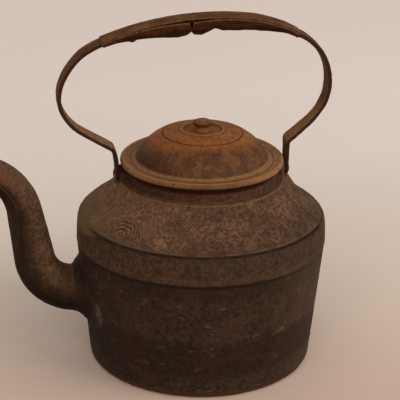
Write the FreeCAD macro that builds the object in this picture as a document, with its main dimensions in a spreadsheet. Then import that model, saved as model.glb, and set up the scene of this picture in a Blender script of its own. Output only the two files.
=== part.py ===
import FreeCAD, Part
import math
import os
import re

import Sketcher

# A large hearth kettle: cast iron body and gooseneck spout, pressed sheet lid, strap bail with a rolled grip.
# The frame has +Z up, the origin at the middle of the base, the spout along -X and the bail in the XZ plane.

# Driving dimensions, in millimetres and degrees.
SIZES = {
    # body casting
    "base_radius": 110.0,
    "base_round": 6.0,
    "base_wall": 4.5,
    "body_wall": 4.0,
    "belt_radius": 122.8,
    "belt_height": 122.0,
    "belt_width": 28.2,
    "belt_step": 0.4,
    "ridge_radius": 120.6,
    "ridge_bead": 1.1,
    "shoulder_rise": 33.6,
    "shoulder_curve": 246.0,
    "ledge_radius": 80.4,
    "ledge_rise": 2.4,
    "neck_radius": 72.6,
    "neck_wall": 3.4,
    "neck_rise": 17.8,
    # bosses that carry the bail
    "boss_face": 80.8,
    "boss_half": 8.0,
    "boss_round": 5.0,
    "boss_toe": 5.2,
    "boss_toe_half": 5.5,
    "boss_toe_drop": 1.2,
    "boss_toe_flare": 9.0,
    # spout
    "spout_drop": 50.0,
    "spout_bend_at": 122.4,
    "spout_inner_start": 95.0,
    "spout_low_bend": 42.0,
    "spout_lean": 10.0,
    "spout_run": 48.0,
    "spout_high_bend": 56.0,
    "spout_lip_dip": 8.0,
    "spout_lip_run": 14.0,
    "spout_root_radius": 25.0,
    "spout_tip_radius": 12.5,
    "spout_wall": 3.5,
    "spout_skirt": 5.5,
    "spout_skirt_curve": 26.0,
    # lid
    "lid_sheet": 1.0,
    "lid_radius": 79.5,
    "lid_curl": 3.0,
    "lid_curl_rise": 1.7,
    "lid_bead_radius": 64.4,
    "lid_bead": 1.3,
    "lid_step_radius": 38.6,
    "lid_step_rise": 26.4,
    "lid_step": 0.8,
    "lid_dome_curve": 50.0,
    "lid_crown_radius": 21.6,
    "lid_crown_rise": 29.6,
    "lid_dish_radius": 15.5,
    "lid_dish_depth": 2.0,
    "wire_play": 0.25,
    "collar_sheet": 0.9,
    "collar_play": 0.8,
    "collar_depth": 14.0,
    "collar_lip": 2.0,
    # knob
    "knob_radius": 9.0,
    "knob_waist": 7.4,
    "knob_foot": 8.4,
    "knob_height": 11.0,
    "knob_edge": 2.0,
    "knob_crown": 14.0,
    "stud_radius": 2.5,
    "stud_head": 4.2,
    "stud_head_depth": 1.7,
    "stud_tail": 4.4,
    "stud_tail_depth": 2.0,
    "washer_radius": 9.0,
    "washer_thick": 1.2,
    # bail strap
    "strap_thick": 4.2,
    "strap_half": 10.0,
    "strap_foot_half": 6.5,
    "strap_taper_rise": 83.5,
    "strap_leg_rise": 5.5,
    "strap_bow": 47.0,
    "strap_kink": 5.0,
    "kink_rise_left": 23.9,
    "kink_rise_right": 24.9,
    "bail_rise": 151.2,
    "bail_top_x": 12.0,
    "bail_top_curve": 290.0,
    "bulge_left": 138.2,
    "loop_left": 46.0,
    "bulge_right": 121.9,
    "loop_right": 58.0,
    "pivot_drop": 12.5,
    "pivot_play": 0.08,
    "side_play": 0.2,
    "rivet_radius": 3.0,
    "rivet_head": 5.6,
    "rivet_head_height": 1.4,
    "rivet_recess": 0.4,
    # grip
    "grip_sheet": 0.8,
    "grip_play": 0.25,
    "grip_belly": 8.0,
    "grip_seam": 1.2,
    "grip_left": 97.0,
    "grip_right": 90.0,
}

TINY = 1e-6

doc = FreeCAD.newDocument("Kettle")
dims = doc.addObject("Spreadsheet::Sheet", "Dims")
for row, (name, value) in enumerate(SIZES.items(), 1):
    dims.set(f"A{row}", name)
    dims.set(f"B{row}", str(value))
    dims.setAlias(f"B{row}", name)
doc.recompute()

# Places that several pieces share, written in terms of the driving dimensions.
RIDGE_Z = "(belt_height + belt_width)"
LEDGE_Z = f"({RIDGE_Z} + shoulder_rise)"
LEDGE_TOP = f"({LEDGE_Z} + ledge_rise)"
NECK_TOP = f"({LEDGE_TOP} + neck_rise)"
PIVOT_Z = f"({NECK_TOP} - pivot_drop)"
SPOUT_Z = "(belt_height - spout_drop)"
WALL_LEAN = "((belt_radius - belt_step - base_radius) / belt_height)"
NECK_BORE = "(neck_radius - neck_wall)"
SHOULDER_SLOPE = "(shoulder_rise / (ridge_radius - ledge_radius))"
FLANGE_TOP = f"({NECK_TOP} + lid_sheet)"
CURL_TOP = f"({FLANGE_TOP} + lid_curl_rise)"
DISH_FLOOR = f"({FLANGE_TOP} + lid_crown_rise - lid_dish_depth)"
FOOT_X = "(boss_face + side_play + strap_thick / 2)"
FOOT_END = f"({PIVOT_Z} - strap_foot_half)"
BAIL_TOP = f"({PIVOT_Z} + bail_rise)"
LEG_TOP = f"({PIVOT_Z} + strap_leg_rise)"
KINK_LEFT = f"({PIVOT_Z} + kink_rise_left)"
KINK_RIGHT = f"({PIVOT_Z} + kink_rise_right)"
BAIL_CENTRE_Z = f"({BAIL_TOP} - bail_top_curve)"
TOE_TOP = f"({FOOT_END} - boss_toe_drop)"


def bound(text):
    """The expression with every dimension named through the spreadsheet."""
    return re.sub(r"[a-z]\w*", lambda m: "Dims." + m.group() if m.group() in SIZES else m.group(), str(text))


def amount(text):
    """The present value of an expression of the driving dimensions."""
    return float(dims.evalExpression(str(text)))


def bind(feature, prop, text):
    feature.setExpression(prop, bound(text))


def body_named(label):
    body = doc.addObject("PartDesign::Body", label)
    body.Label = label
    return body


def sketch_in(body, plane_role, name, offset="0"):
    """A sketch on one of the body's own origin planes, moved along the plane's normal by an expression."""
    sketch = body.newObject("Sketcher::SketchObject", name)
    plane = next(p for p in body.Origin.OriginFeatures if p.Role == plane_role)
    sketch.AttachmentSupport = [(plane, "")]
    sketch.MapMode = "FlatFace"
    bind(sketch, "AttachmentOffset.Base.z", offset)
    return sketch


def fix(sketch, kind, value, *where):
    """One dimensional constraint, bound to an expression."""
    number = sketch.addConstraint(Sketcher.Constraint(kind, *where, amount(value)))
    sketch.setExpression(f"Constraints[{number}]", bound(value))


def place_point(sketch, geometry, end, x, y):
    fix(sketch, "DistanceX", x, -1, 1, geometry, end)
    fix(sketch, "DistanceY", y, -1, 1, geometry, end)


def arc_between(start, end, radius, side):
    """The shorter arc from start to end: side 1 turns left and side -1 turns right."""
    chord = end - start
    half = chord.Length / 2
    sagitta = radius - math.sqrt(max(radius**2 - half**2, 0.0))
    across = FreeCAD.Vector(chord.y, -chord.x, 0).normalize()
    return Part.Arc(start, (start + end) * 0.5 + across * side * sagitta, end)


def add_edge(sketch, edge, start):
    """Adds an edge and returns its number with the sketch's names for its start and its finish."""
    number = sketch.addGeometry(edge)
    first = 1 if sketch.getPoint(number, 1).distanceToPoint(start) < TINY else 2
    return number, first, 3 - first


def outline(sketch, corners, curves=None, closed=True):
    """Edges through corners given as pairs of expressions; curves maps an edge's number to (radius, side)."""
    curves = curves or {}
    points = [FreeCAD.Vector(amount(x), amount(y), 0) for x, y in corners]
    spans = list(zip(points, points[1:] + points[:1]))
    edges = []
    for number, (start, end) in enumerate(spans if closed else spans[:-1]):
        if number in curves:
            radius, side = curves[number]
            edge = arc_between(start, end, amount(radius), side)
        else:
            edge = Part.LineSegment(start, end)
        edges.append(add_edge(sketch, edge, start))
        if number in curves:
            fix(sketch, "Radius", curves[number][0], edges[-1][0])
    joins = list(zip(edges, edges[1:] + edges[:1]))
    for (one, _, finish), (other, begin, _) in joins if closed else joins[:-1]:
        sketch.addConstraint(Sketcher.Constraint("Coincident", one, finish, other, begin))
    for (number, begin, _), (x, y) in zip(edges, corners):
        place_point(sketch, number, begin, x, y)
    if not closed:
        place_point(sketch, edges[-1][0], edges[-1][2], *corners[-1])


def circle(sketch, x, y, radius):
    centre = FreeCAD.Vector(amount(x), amount(y), 0)
    number = sketch.addGeometry(Part.Circle(centre, FreeCAD.Vector(0, 0, 1), amount(radius)))
    fix(sketch, "Radius", radius, number)
    place_point(sketch, number, 3, x, y)


def chain(sketch, edges):
    """Adds (edge, start) pairs end to end, each tangent to the one before it."""
    added = [add_edge(sketch, edge, start) for edge, start in edges]
    for (one, _, finish), (other, begin, _) in zip(added, added[1:]):
        sketch.addConstraint(Sketcher.Constraint("Tangent", one, finish, other, begin))
    return added


def turn(body, sketch, name, cut=False):
    """Revolves a sketch about its own vertical axis."""
    feature = body.newObject("PartDesign::Groove" if cut else "PartDesign::Revolution", name)
    feature.Profile = sketch
    feature.ReferenceAxis = (sketch, ["V_Axis"])
    feature.Angle = 360.0
    return feature


def through_cut(body, sketch, name, both_ways=True):
    feature = body.newObject("PartDesign::Pocket", name)
    feature.Profile = sketch
    feature.Type = "ThroughAll"
    feature.Midplane = both_ways
    return feature


def round_edges(body, base, name, radius, wanted):
    """Rounds the edges of the base feature for which wanted(edge) is true."""
    doc.recompute()
    names = [f"Edge{i}" for i, edge in enumerate(base.Shape.Edges, 1) if wanted(edge)]
    feature = body.newObject("PartDesign::Fillet", name)
    feature.Base = (base, names)
    bind(feature, "Radius", radius)
    return feature


def is_ring(radius, height):
    """Picks a circular edge about the Z axis by its radius and height."""
    r, z = amount(radius), amount(height)

    def wanted(edge):
        curve = edge.Curve
        return isinstance(curve, Part.Circle) and abs(curve.Radius - r) < 0.01 and abs(curve.Center.z - z) < 0.01

    return wanted


def polar(centre, radius, angle):
    return FreeCAD.Vector(centre.x + radius * math.cos(angle), centre.y + radius * math.sin(angle), 0)


def shoulder_at(radius):
    return f"({RIDGE_Z} + (ridge_radius - {radius}) * {SHOULDER_SLOPE})"


def make_kettle_body():
    """One casting: base, tapered wall, belt, ridge, hollow-curved shoulder, neck, and the bosses for the bail."""
    body = body_named("kettle_body")

    outside = sketch_in(body, "XZ_Plane", "BodyOutside")
    outline(
        outside,
        [
            ("0", "0"),
            ("base_radius", "0"),
            ("belt_radius - belt_step", "belt_height"),
            ("belt_radius", "belt_height + belt_step"),
            ("ridge_radius", f"{RIDGE_Z} - 2 * ridge_bead"),
            ("ridge_radius + ridge_bead", f"{RIDGE_Z} - ridge_bead"),
            ("ridge_radius", RIDGE_Z),
            ("ledge_radius", LEDGE_Z),
            ("ledge_radius", LEDGE_TOP),
            ("neck_radius", LEDGE_TOP),
            ("neck_radius", NECK_TOP),
            ("0", NECK_TOP),
        ],
        curves={4: ("ridge_bead", 1), 5: ("ridge_bead", 1), 6: ("shoulder_curve", -1)},
    )
    shell = turn(body, outside, "BodyCasting")
    round_edges(body, shell, "BaseEdge", "base_round", is_ring("base_radius", "0"))

    # One boss: a flat seat for the strap, round at its upper corners, and a toe that flows into the shoulder.
    root_x = "(neck_radius - neck_wall / 2)"
    boss_top = f"({PIVOT_Z} + boss_half)"
    boss = sketch_in(body, "YZ_Plane", "BossFace", offset=root_x)
    outline(
        boss,
        [
            ("-boss_half", RIDGE_Z),
            ("boss_half", RIDGE_Z),
            ("boss_half", f"{boss_top} - boss_round"),
            ("boss_half - boss_round", boss_top),
            ("boss_round - boss_half", boss_top),
            ("-boss_half", f"{boss_top} - boss_round"),
        ],
        curves={2: ("boss_round", 1), 4: ("boss_round", 1)},
    )
    seat = body.newObject("PartDesign::Pad", "BossSeat")
    seat.Profile = boss
    bind(seat, "Length", f"boss_face - {root_x}")

    toe_x = "(boss_face + boss_toe)"
    toe_end = "(boss_face + boss_toe + boss_toe_flare)"
    toe_side = sketch_in(body, "XZ_Plane", "ToeSide")
    outline(
        toe_side,
        [
            (root_x, RIDGE_Z),
            (toe_end, RIDGE_Z),
            (toe_end, f"{shoulder_at(toe_end)} - 0.7 * body_wall"),
            (toe_x, TOE_TOP),
            (root_x, TOE_TOP),
        ],
        curves={2: ("boss_toe_flare * 2", -1)},
    )
    toe = body.newObject("PartDesign::Pad", "BossToe")
    toe.Profile = toe_side
    toe.Midplane = True
    bind(toe, "Length", "2 * boss_toe_half")

    mirrored = body.newObject("PartDesign::Mirrored", "SecondBoss")
    mirrored.Originals = [seat, toe]
    mirrored.MirrorPlane = (next(p for p in body.Origin.OriginFeatures if p.Role == "YZ_Plane"), [""])
    body.Tip = mirrored

    inside = sketch_in(body, "XZ_Plane", "BodyInside")
    outline(
        inside,
        [
            ("0", "base_wall"),
            ("base_radius - body_wall", "base_wall"),
            ("belt_radius - belt_step - body_wall", "belt_height"),
            ("ridge_radius - body_wall", f"{RIDGE_Z} - body_wall * (1.3 - {SHOULDER_SLOPE})"),
            (NECK_BORE, shoulder_at(NECK_BORE) + " - 1.3 * body_wall"),
            (NECK_BORE, f"{NECK_TOP} + 1"),
            ("0", f"{NECK_TOP} + 1"),
        ],
        curves={3: ("shoulder_curve", -1)},
    )
    cavity = turn(body, inside, "BodyCavity", cut=True)
    round_edges(body, cavity, "CavityEdge", "base_round", is_ring("base_radius - body_wall", "base_wall"))

    spout_hole = sketch_in(body, "YZ_Plane", "SpoutHole")
    circle(spout_hole, "0", SPOUT_Z, "spout_root_radius - spout_wall")
    through_cut(body, spout_hole, "SpoutOpening", both_ways=False)

    rivet_hole = sketch_in(body, "YZ_Plane", "RivetHole")
    circle(rivet_hole, "0", PIVOT_Z, "rivet_radius + pivot_play / 2")
    through_cut(body, rivet_hole, "RivetHoles")
    return body


def spout_path(sketch):
    """Level out of the wall, up round the low bend, along a leaning run, out round the high bend to the lip."""
    lean = math.radians(amount("spout_lean"))
    low, high = amount("spout_low_bend"), amount("spout_high_bend")
    begin = FreeCAD.Vector(-amount("spout_inner_start"), amount(SPOUT_Z), 0)
    bend_in = FreeCAD.Vector(-amount("spout_bend_at"), begin.y, 0)
    low_centre = bend_in + FreeCAD.Vector(0, low, 0)
    bend_out = polar(low_centre, low, math.pi + lean)
    run_end = polar(bend_out, amount("spout_run"), math.pi / 2 + lean)
    high_centre = polar(run_end, high, math.pi + lean)
    lip_turn = math.pi / 2 - math.radians(amount("spout_lip_dip"))
    lip_in = polar(high_centre, high, lip_turn)
    lip_out = polar(lip_in, amount("spout_lip_run"), lip_turn + math.pi / 2)
    low_middle = polar(low_centre, low, (3 * math.pi / 2 + math.pi + lean) / 2)
    high_middle = polar(high_centre, high, (lean + lip_turn) / 2)
    root, _, run, _, lip = added = chain(
        sketch,
        [
            (Part.LineSegment(begin, bend_in), begin),
            (Part.Arc(bend_in, low_middle, bend_out), bend_in),
            (Part.LineSegment(bend_out, run_end), bend_out),
            (Part.Arc(run_end, high_middle, lip_in), run_end),
            (Part.LineSegment(lip_in, lip_out), lip_in),
        ],
    )
    place_point(sketch, root[0], root[1], "-spout_inner_start", SPOUT_Z)
    place_point(sketch, root[0], root[2], "-spout_bend_at", SPOUT_Z)
    fix(sketch, "Radius", "spout_low_bend", added[1][0])
    fix(sketch, "Radius", "spout_high_bend", added[3][0])
    fix(sketch, "DistanceX", "-spout_run * sin(spout_lean)", run[0], run[1], run[0], run[2])
    fix(sketch, "DistanceY", "spout_run * cos(spout_lean)", run[0], run[1], run[0], run[2])
    fix(sketch, "DistanceX", "-spout_lip_run * cos(spout_lip_dip)", lip[0], lip[1], lip[0], lip[2])
    fix(sketch, "DistanceY", "spout_lip_run * sin(spout_lip_dip)", lip[0], lip[1], lip[0], lip[2])


def make_spout():
    """Gooseneck that tapers evenly from root to lip, hollow, with a flared skirt seated on the wall."""
    body = body_named("spout")
    path = sketch_in(body, "XZ_Plane", "SpoutPath")
    spout_path(path)
    doc.recompute()
    path_edges = [f"Edge{i}" for i in range(1, len(path.Shape.Edges) + 1)]

    def tapered(kind, name, shrink):
        root = sketch_in(body, "YZ_Plane", name + "Root", offset="-spout_inner_start")
        circle(root, "0", SPOUT_Z, f"spout_root_radius - {shrink}")
        tip = body.newObject("Sketcher::SketchObject", name + "Tip")
        tip.AttachmentSupport = [(path, path_edges[-1])]
        tip.MapMode = "NormalToEdge"
        tip.MapPathParameter = 1.0
        circle(tip, "0", "0", f"spout_tip_radius - {shrink}")
        doc.recompute()
        pipe = body.newObject(kind, name)
        pipe.Profile = root
        pipe.Spine = (path, path_edges)
        pipe.Sections = [(tip, [""])]
        pipe.Transformation = "Multisection"
        doc.recompute()
        return pipe

    tapered("PartDesign::AdditivePipe", "SpoutTube", "0")

    # The skirt is turned about the level axis of the root, which is drawn here as the sketch's own axis.
    skirt_sketch = sketch_in(body, "XZ_Plane", "SpoutSkirt")
    bind(skirt_sketch, "AttachmentOffset.Base.y", SPOUT_Z)
    outline(
        skirt_sketch,
        [
            ("-spout_inner_start", "0"),
            ("-spout_inner_start", "spout_root_radius + 3 * spout_skirt"),
            ("-base_radius", "spout_root_radius + 2 * spout_skirt"),
            ("-spout_bend_at - spout_skirt", "spout_root_radius - spout_wall"),
            ("-spout_bend_at - spout_skirt", "0"),
        ],
        curves={2: ("spout_skirt_curve", -1)},
    )
    skirt = body.newObject("PartDesign::Revolution", "SpoutSkirtTurned")
    skirt.Profile = skirt_sketch
    skirt.ReferenceAxis = (skirt_sketch, ["H_Axis"])
    skirt.Angle = 360.0

    tapered("PartDesign::SubtractivePipe", "SpoutBore", "spout_wall")

    wall = sketch_in(body, "XZ_Plane", "WallFace")
    above_spout = f"({SPOUT_Z} + 3 * spout_root_radius)"
    outline(
        wall,
        [
            ("0", "0"),
            ("base_radius", "0"),
            (f"base_radius + {WALL_LEAN} * {above_spout}", above_spout),
            ("0", above_spout),
        ],
    )
    turn(body, wall, "SeatOnWall", cut=True)
    return body


def revolved_sheet(label, corners, curves, thickness):
    """A pressed sheet: the open outline of its upper face, thickened downwards and revolved about Z."""
    face_line = doc.addObject("Sketcher::SketchObject", label + "_line")
    face_line.Placement = FreeCAD.Placement(FreeCAD.Vector(), FreeCAD.Rotation(FreeCAD.Vector(1, 0, 0), 90))
    outline(face_line, corners, curves, closed=False)
    strip = doc.addObject("Part::Offset2D", label + "_strip")
    strip.Source = face_line
    strip.Mode = "Skin"
    strip.Join = "Intersection"
    strip.Fill = True
    bind(strip, "Value", f"-({thickness})")
    turned = doc.addObject("Part::Revolution", label)
    turned.Label = label
    turned.Source = strip
    turned.Axis = (0, 0, 1)
    turned.Angle = 360.0
    turned.Solid = True
    return turned


def make_lid_pan():
    """Pressed lid: dish, crown, step, domed side, bead, flat flange, and a proud edge folded round the wire."""
    step_z = f"({FLANGE_TOP} + lid_step_rise)"
    bead_z = f"({FLANGE_TOP} + lid_bead)"
    # The edge is hammered round the wire in eighths of a turn; fold is half the length of one such flat.
    curl_x = "(lid_radius - lid_curl)"
    curl_z = f"({CURL_TOP} - lid_curl)"
    curl_in = "(lid_radius - 2 * lid_curl)"
    fold = "(lid_curl * tan(22.5))"
    return revolved_sheet(
        "lid_pan",
        [
            ("stud_radius", DISH_FLOOR),
            ("lid_dish_radius", DISH_FLOOR),
            ("lid_crown_radius", f"{FLANGE_TOP} + lid_crown_rise"),
            ("lid_step_radius", step_z),
            ("lid_step_radius + lid_step", f"{step_z} - lid_step"),
            ("lid_bead_radius - 1.5 * lid_bead", FLANGE_TOP),
            ("lid_bead_radius - 0.75 * lid_bead", bead_z),
            ("lid_bead_radius + 0.75 * lid_bead", bead_z),
            ("lid_bead_radius + 1.5 * lid_bead", FLANGE_TOP),
            (f"{curl_x} - {fold} - lid_curl_rise", FLANGE_TOP),
            (f"{curl_x} - {fold}", CURL_TOP),
            (f"{curl_x} + {fold}", CURL_TOP),
            ("lid_radius", f"{curl_z} + {fold}"),
            ("lid_radius", f"{curl_z} - {fold}"),
            (f"{curl_x} + {fold}", f"{curl_z} - lid_curl"),
            (f"{curl_x} - {fold}", f"{curl_z} - lid_curl"),
            (curl_in, f"{curl_z} - {fold}"),
        ],
        {4: ("lid_dome_curve", -1)},
        "lid_sheet",
    )


def make_lid_rim_wire():
    """Iron wire that the lid's edge is curled round."""
    wire = doc.addObject("Part::Torus", "lid_rim_wire")
    wire.Label = "lid_rim_wire"
    bind(wire, "Radius1", "lid_radius - lid_curl")
    bind(wire, "Radius2", "lid_curl - lid_sheet - wire_play")
    bind(wire, "Placement.Base.z", f"{CURL_TOP} - lid_curl")
    return wire


def turned_piece(label, corners, curves=None):
    """A round piece on the kettle's axis from its half section."""
    body = body_named(label)
    half = sketch_in(body, "XZ_Plane", label + "_half")
    outline(half, corners, curves)
    turn(body, half, label + "_turned")
    return body


def make_lid_collar():
    """Sheet ring that drops into the neck, with a lip turned in and soldered under the flange."""
    outer = f"({NECK_BORE} - collar_play)"
    return turned_piece(
        "lid_collar",
        [
            (outer, NECK_TOP),
            (f"{outer} - collar_lip", NECK_TOP),
            (f"{outer} - collar_lip", f"{NECK_TOP} - collar_sheet"),
            (f"{outer} - collar_sheet", f"{NECK_TOP} - collar_sheet"),
            (f"{outer} - collar_sheet", f"{NECK_TOP} - collar_depth"),
            (outer, f"{NECK_TOP} - collar_depth"),
        ],
    )


def make_lid_knob():
    """Turned iron button with a waist, a domed top and a countersunk hole."""
    top = f"({DISH_FLOOR} + knob_height)"
    edge_z = f"({DISH_FLOOR} + knob_height - 2 * knob_edge)"
    return turned_piece(
        "lid_knob",
        [
            ("stud_radius", DISH_FLOOR),
            ("knob_foot", DISH_FLOOR),
            ("knob_waist", f"{DISH_FLOOR} + knob_height / 3"),
            ("knob_radius", edge_z),
            ("knob_radius", f"{edge_z} + knob_edge / 2"),
            ("stud_head", top),
            ("stud_radius", f"{top} - stud_head_depth"),
        ],
        {2: ("knob_waist", -1), 4: ("knob_crown", 1)},
    )


def make_knob_rivet():
    """Rivet that holds the knob: flush head in the knob, tail hammered over under the washer."""
    top = f"({DISH_FLOOR} + knob_height)"
    tail = f"({DISH_FLOOR} - lid_sheet - washer_thick)"
    return turned_piece(
        "knob_rivet",
        [
            ("0", f"{tail} - stud_tail_depth"),
            ("stud_tail * 0.6", f"{tail} - stud_tail_depth * 0.8"),
            ("stud_tail", tail),
            ("stud_radius", tail),
            ("stud_radius", f"{top} - stud_head_depth"),
            ("stud_head", top),
            ("0", top),
        ],
    )


def make_knob_washer():
    """Washer between the lid and the rivet's tail."""
    top = f"({DISH_FLOOR} - lid_sheet)"
    return turned_piece(
        "knob_washer",
        [
            ("stud_radius", f"{top} - washer_thick"),
            ("washer_radius", f"{top} - washer_thick"),
            ("washer_radius", top),
            ("stud_radius", top),
        ],
    )


def bail_circles():
    """Centres and radii of the top arc and the two loops, the loops touching the top arc from inside."""
    top = FreeCAD.Vector(amount("bail_top_x"), amount(BAIL_CENTRE_Z), 0)
    top_radius = amount("bail_top_curve")
    loops = []
    for x, radius in (("loop_left - bulge_left", "loop_left"), ("bulge_right - loop_right", "loop_right")):
        apart = top_radius - amount(radius)
        across = amount(x) - top.x
        loops.append((FreeCAD.Vector(amount(x), top.y + math.sqrt(apart**2 - across**2), 0), amount(radius)))
    return (top, top_radius), loops


def touching(outer_centre, radius, inner_centre):
    """The point where a circle touches a smaller one inside it, and its angle."""
    along = inner_centre - outer_centre
    angle = math.atan2(along.y, along.x)
    return polar(outer_centre, radius, angle), angle


def flare(kink_start, heading, side, kink_radius, loop_centre, loop_radius):
    """The straight between a kink and a loop: its two ends and the middle of the kink's arc."""
    kink_centre = polar(kink_start, kink_radius, heading + side * math.pi / 2)
    along = loop_centre - kink_centre
    slope = math.atan2(along.y, along.x) + side * math.asin((kink_radius + loop_radius) / along.Length)
    leave = polar(kink_centre, kink_radius, slope - side * math.pi / 2)
    arrive = polar(loop_centre, loop_radius, slope + side * math.pi / 2)
    middle = polar(kink_centre, kink_radius, (heading + slope) / 2 - side * math.pi / 2)
    return leave, arrive, middle, slope


def bail_path(sketch):
    """Foot, bowed leg, kink, flare and loop on the spout side, the top arc, then the other side down again."""
    (top, top_radius), ((left, left_radius), (right, right_radius)) = bail_circles()
    kink_radius, bow = amount("strap_kink"), amount("strap_bow")
    foot_x, foot_end = amount(FOOT_X), amount(FOOT_END)

    foot_left = FreeCAD.Vector(-foot_x, foot_end, 0)
    leg_top = FreeCAD.Vector(-foot_x, amount(LEG_TOP), 0)
    bow_centre = leg_top - FreeCAD.Vector(bow, 0, 0)
    lean = math.asin((amount(KINK_LEFT) - leg_top.y) / bow)
    kink_left = polar(bow_centre, bow, lean)
    leave_left, arrive_left, kink_mid_left, slope_left = flare(
        kink_left, math.pi / 2 + lean, 1, kink_radius, left, left_radius
    )
    top_left, angle_left = touching(top, top_radius, left)

    foot_right = FreeCAD.Vector(foot_x, foot_end, 0)
    kink_right = FreeCAD.Vector(foot_x, amount(KINK_RIGHT), 0)
    leave_right, arrive_right, kink_mid_right, slope_right = flare(
        kink_right, math.pi / 2, -1, kink_radius, right, right_radius
    )
    top_right, angle_right = touching(top, top_radius, right)

    left_mid = polar(left, left_radius, (slope_left + math.pi / 2 + angle_left) / 2)
    right_mid = polar(right, right_radius, (slope_right - math.pi / 2 + angle_right) / 2)
    top_mid = polar(top, top_radius, (angle_left + angle_right) / 2)
    added = chain(
        sketch,
        [
            (Part.LineSegment(foot_left, leg_top), foot_left),
            (Part.Arc(leg_top, polar(bow_centre, bow, lean / 2), kink_left), leg_top),
            (Part.Arc(kink_left, kink_mid_left, leave_left), kink_left),
            (Part.LineSegment(leave_left, arrive_left), leave_left),
            (Part.Arc(arrive_left, left_mid, top_left), arrive_left),
            (Part.Arc(top_left, top_mid, top_right), top_left),
            (Part.Arc(top_right, right_mid, arrive_right), top_right),
            (Part.LineSegment(arrive_right, leave_right), arrive_right),
            (Part.Arc(leave_right, kink_mid_right, kink_right), leave_right),
            (Part.LineSegment(kink_right, foot_right), kink_right),
        ],
    )
    leg_l, bow_l, kink_l, _, loop_l, arc_top, loop_r, _, kink_r, leg_r = added
    place_point(sketch, leg_l[0], leg_l[1], f"-{FOOT_X}", FOOT_END)
    place_point(sketch, leg_l[0], leg_l[2], f"-{FOOT_X}", LEG_TOP)
    fix(sketch, "Radius", "strap_bow", bow_l[0])
    fix(sketch, "DistanceY", KINK_LEFT, -1, 1, bow_l[0], bow_l[2])
    fix(sketch, "Radius", "strap_kink", kink_l[0])
    fix(sketch, "Radius", "loop_left", loop_l[0])
    fix(sketch, "DistanceX", "loop_left - bulge_left", -1, 1, loop_l[0], 3)
    fix(sketch, "Radius", "bail_top_curve", arc_top[0])
    place_point(sketch, arc_top[0], 3, "bail_top_x", BAIL_CENTRE_Z)
    fix(sketch, "Radius", "loop_right", loop_r[0])
    fix(sketch, "DistanceX", "bulge_right - loop_right", -1, 1, loop_r[0], 3)
    fix(sketch, "Radius", "strap_kink", kink_r[0])
    place_point(sketch, leg_r[0], leg_r[1], FOOT_X, KINK_RIGHT)
    place_point(sketch, leg_r[0], leg_r[2], FOOT_X, FOOT_END)


def make_bail_strap():
    """Flat strap bent to the bail's path, then tapered towards rounded, drilled feet."""
    body = body_named("bail_strap")
    path = sketch_in(body, "XZ_Plane", "BailPath")
    bail_path(path)
    section = sketch_in(body, "XY_Plane", "StrapSection", offset=FOOT_END)
    outline(
        section,
        [
            (f"-{FOOT_X} - strap_thick / 2", "-strap_half"),
            (f"-{FOOT_X} + strap_thick / 2", "-strap_half"),
            (f"-{FOOT_X} + strap_thick / 2", "strap_half"),
            (f"-{FOOT_X} - strap_thick / 2", "strap_half"),
        ],
    )
    doc.recompute()
    bent = body.newObject("PartDesign::AdditivePipe", "StrapBent")
    bent.Profile = section
    bent.Spine = (path, [f"Edge{i}" for i in range(1, len(path.Shape.Edges) + 1)])
    bent.Mode = "Standard"
    doc.recompute()

    # Seen from the side, the strap widens evenly from its rounded feet and never passes its full width.
    high = f"({BAIL_TOP} + 2 * strap_half)"
    spread = "(bail_rise + 2 * strap_half) / strap_taper_rise"
    wide = f"(strap_foot_half + (strap_half - strap_foot_half) * {spread})"
    frame_half = "(4 * strap_half)"
    taper = sketch_in(body, "YZ_Plane", "StrapTaper")
    outline(
        taper,
        [
            ("-strap_foot_half", PIVOT_Z),
            ("0", FOOT_END),
            ("strap_foot_half", PIVOT_Z),
            (wide, high),
            (f"-{wide}", high),
        ],
        {0: ("strap_foot_half", 1), 1: ("strap_foot_half", 1)},
    )
    outline(
        taper,
        [
            (f"-{frame_half}", f"{FOOT_END} - strap_half"),
            (frame_half, f"{FOOT_END} - strap_half"),
            (frame_half, f"{high} + strap_half"),
            (f"-{frame_half}", f"{high} + strap_half"),
        ],
    )
    through_cut(body, taper, "StrapTapered")

    eye = sketch_in(body, "YZ_Plane", "StrapEye")
    circle(eye, "0", PIVOT_Z, "rivet_radius + pivot_play")
    through_cut(body, eye, "StrapEyes")
    return body


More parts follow.
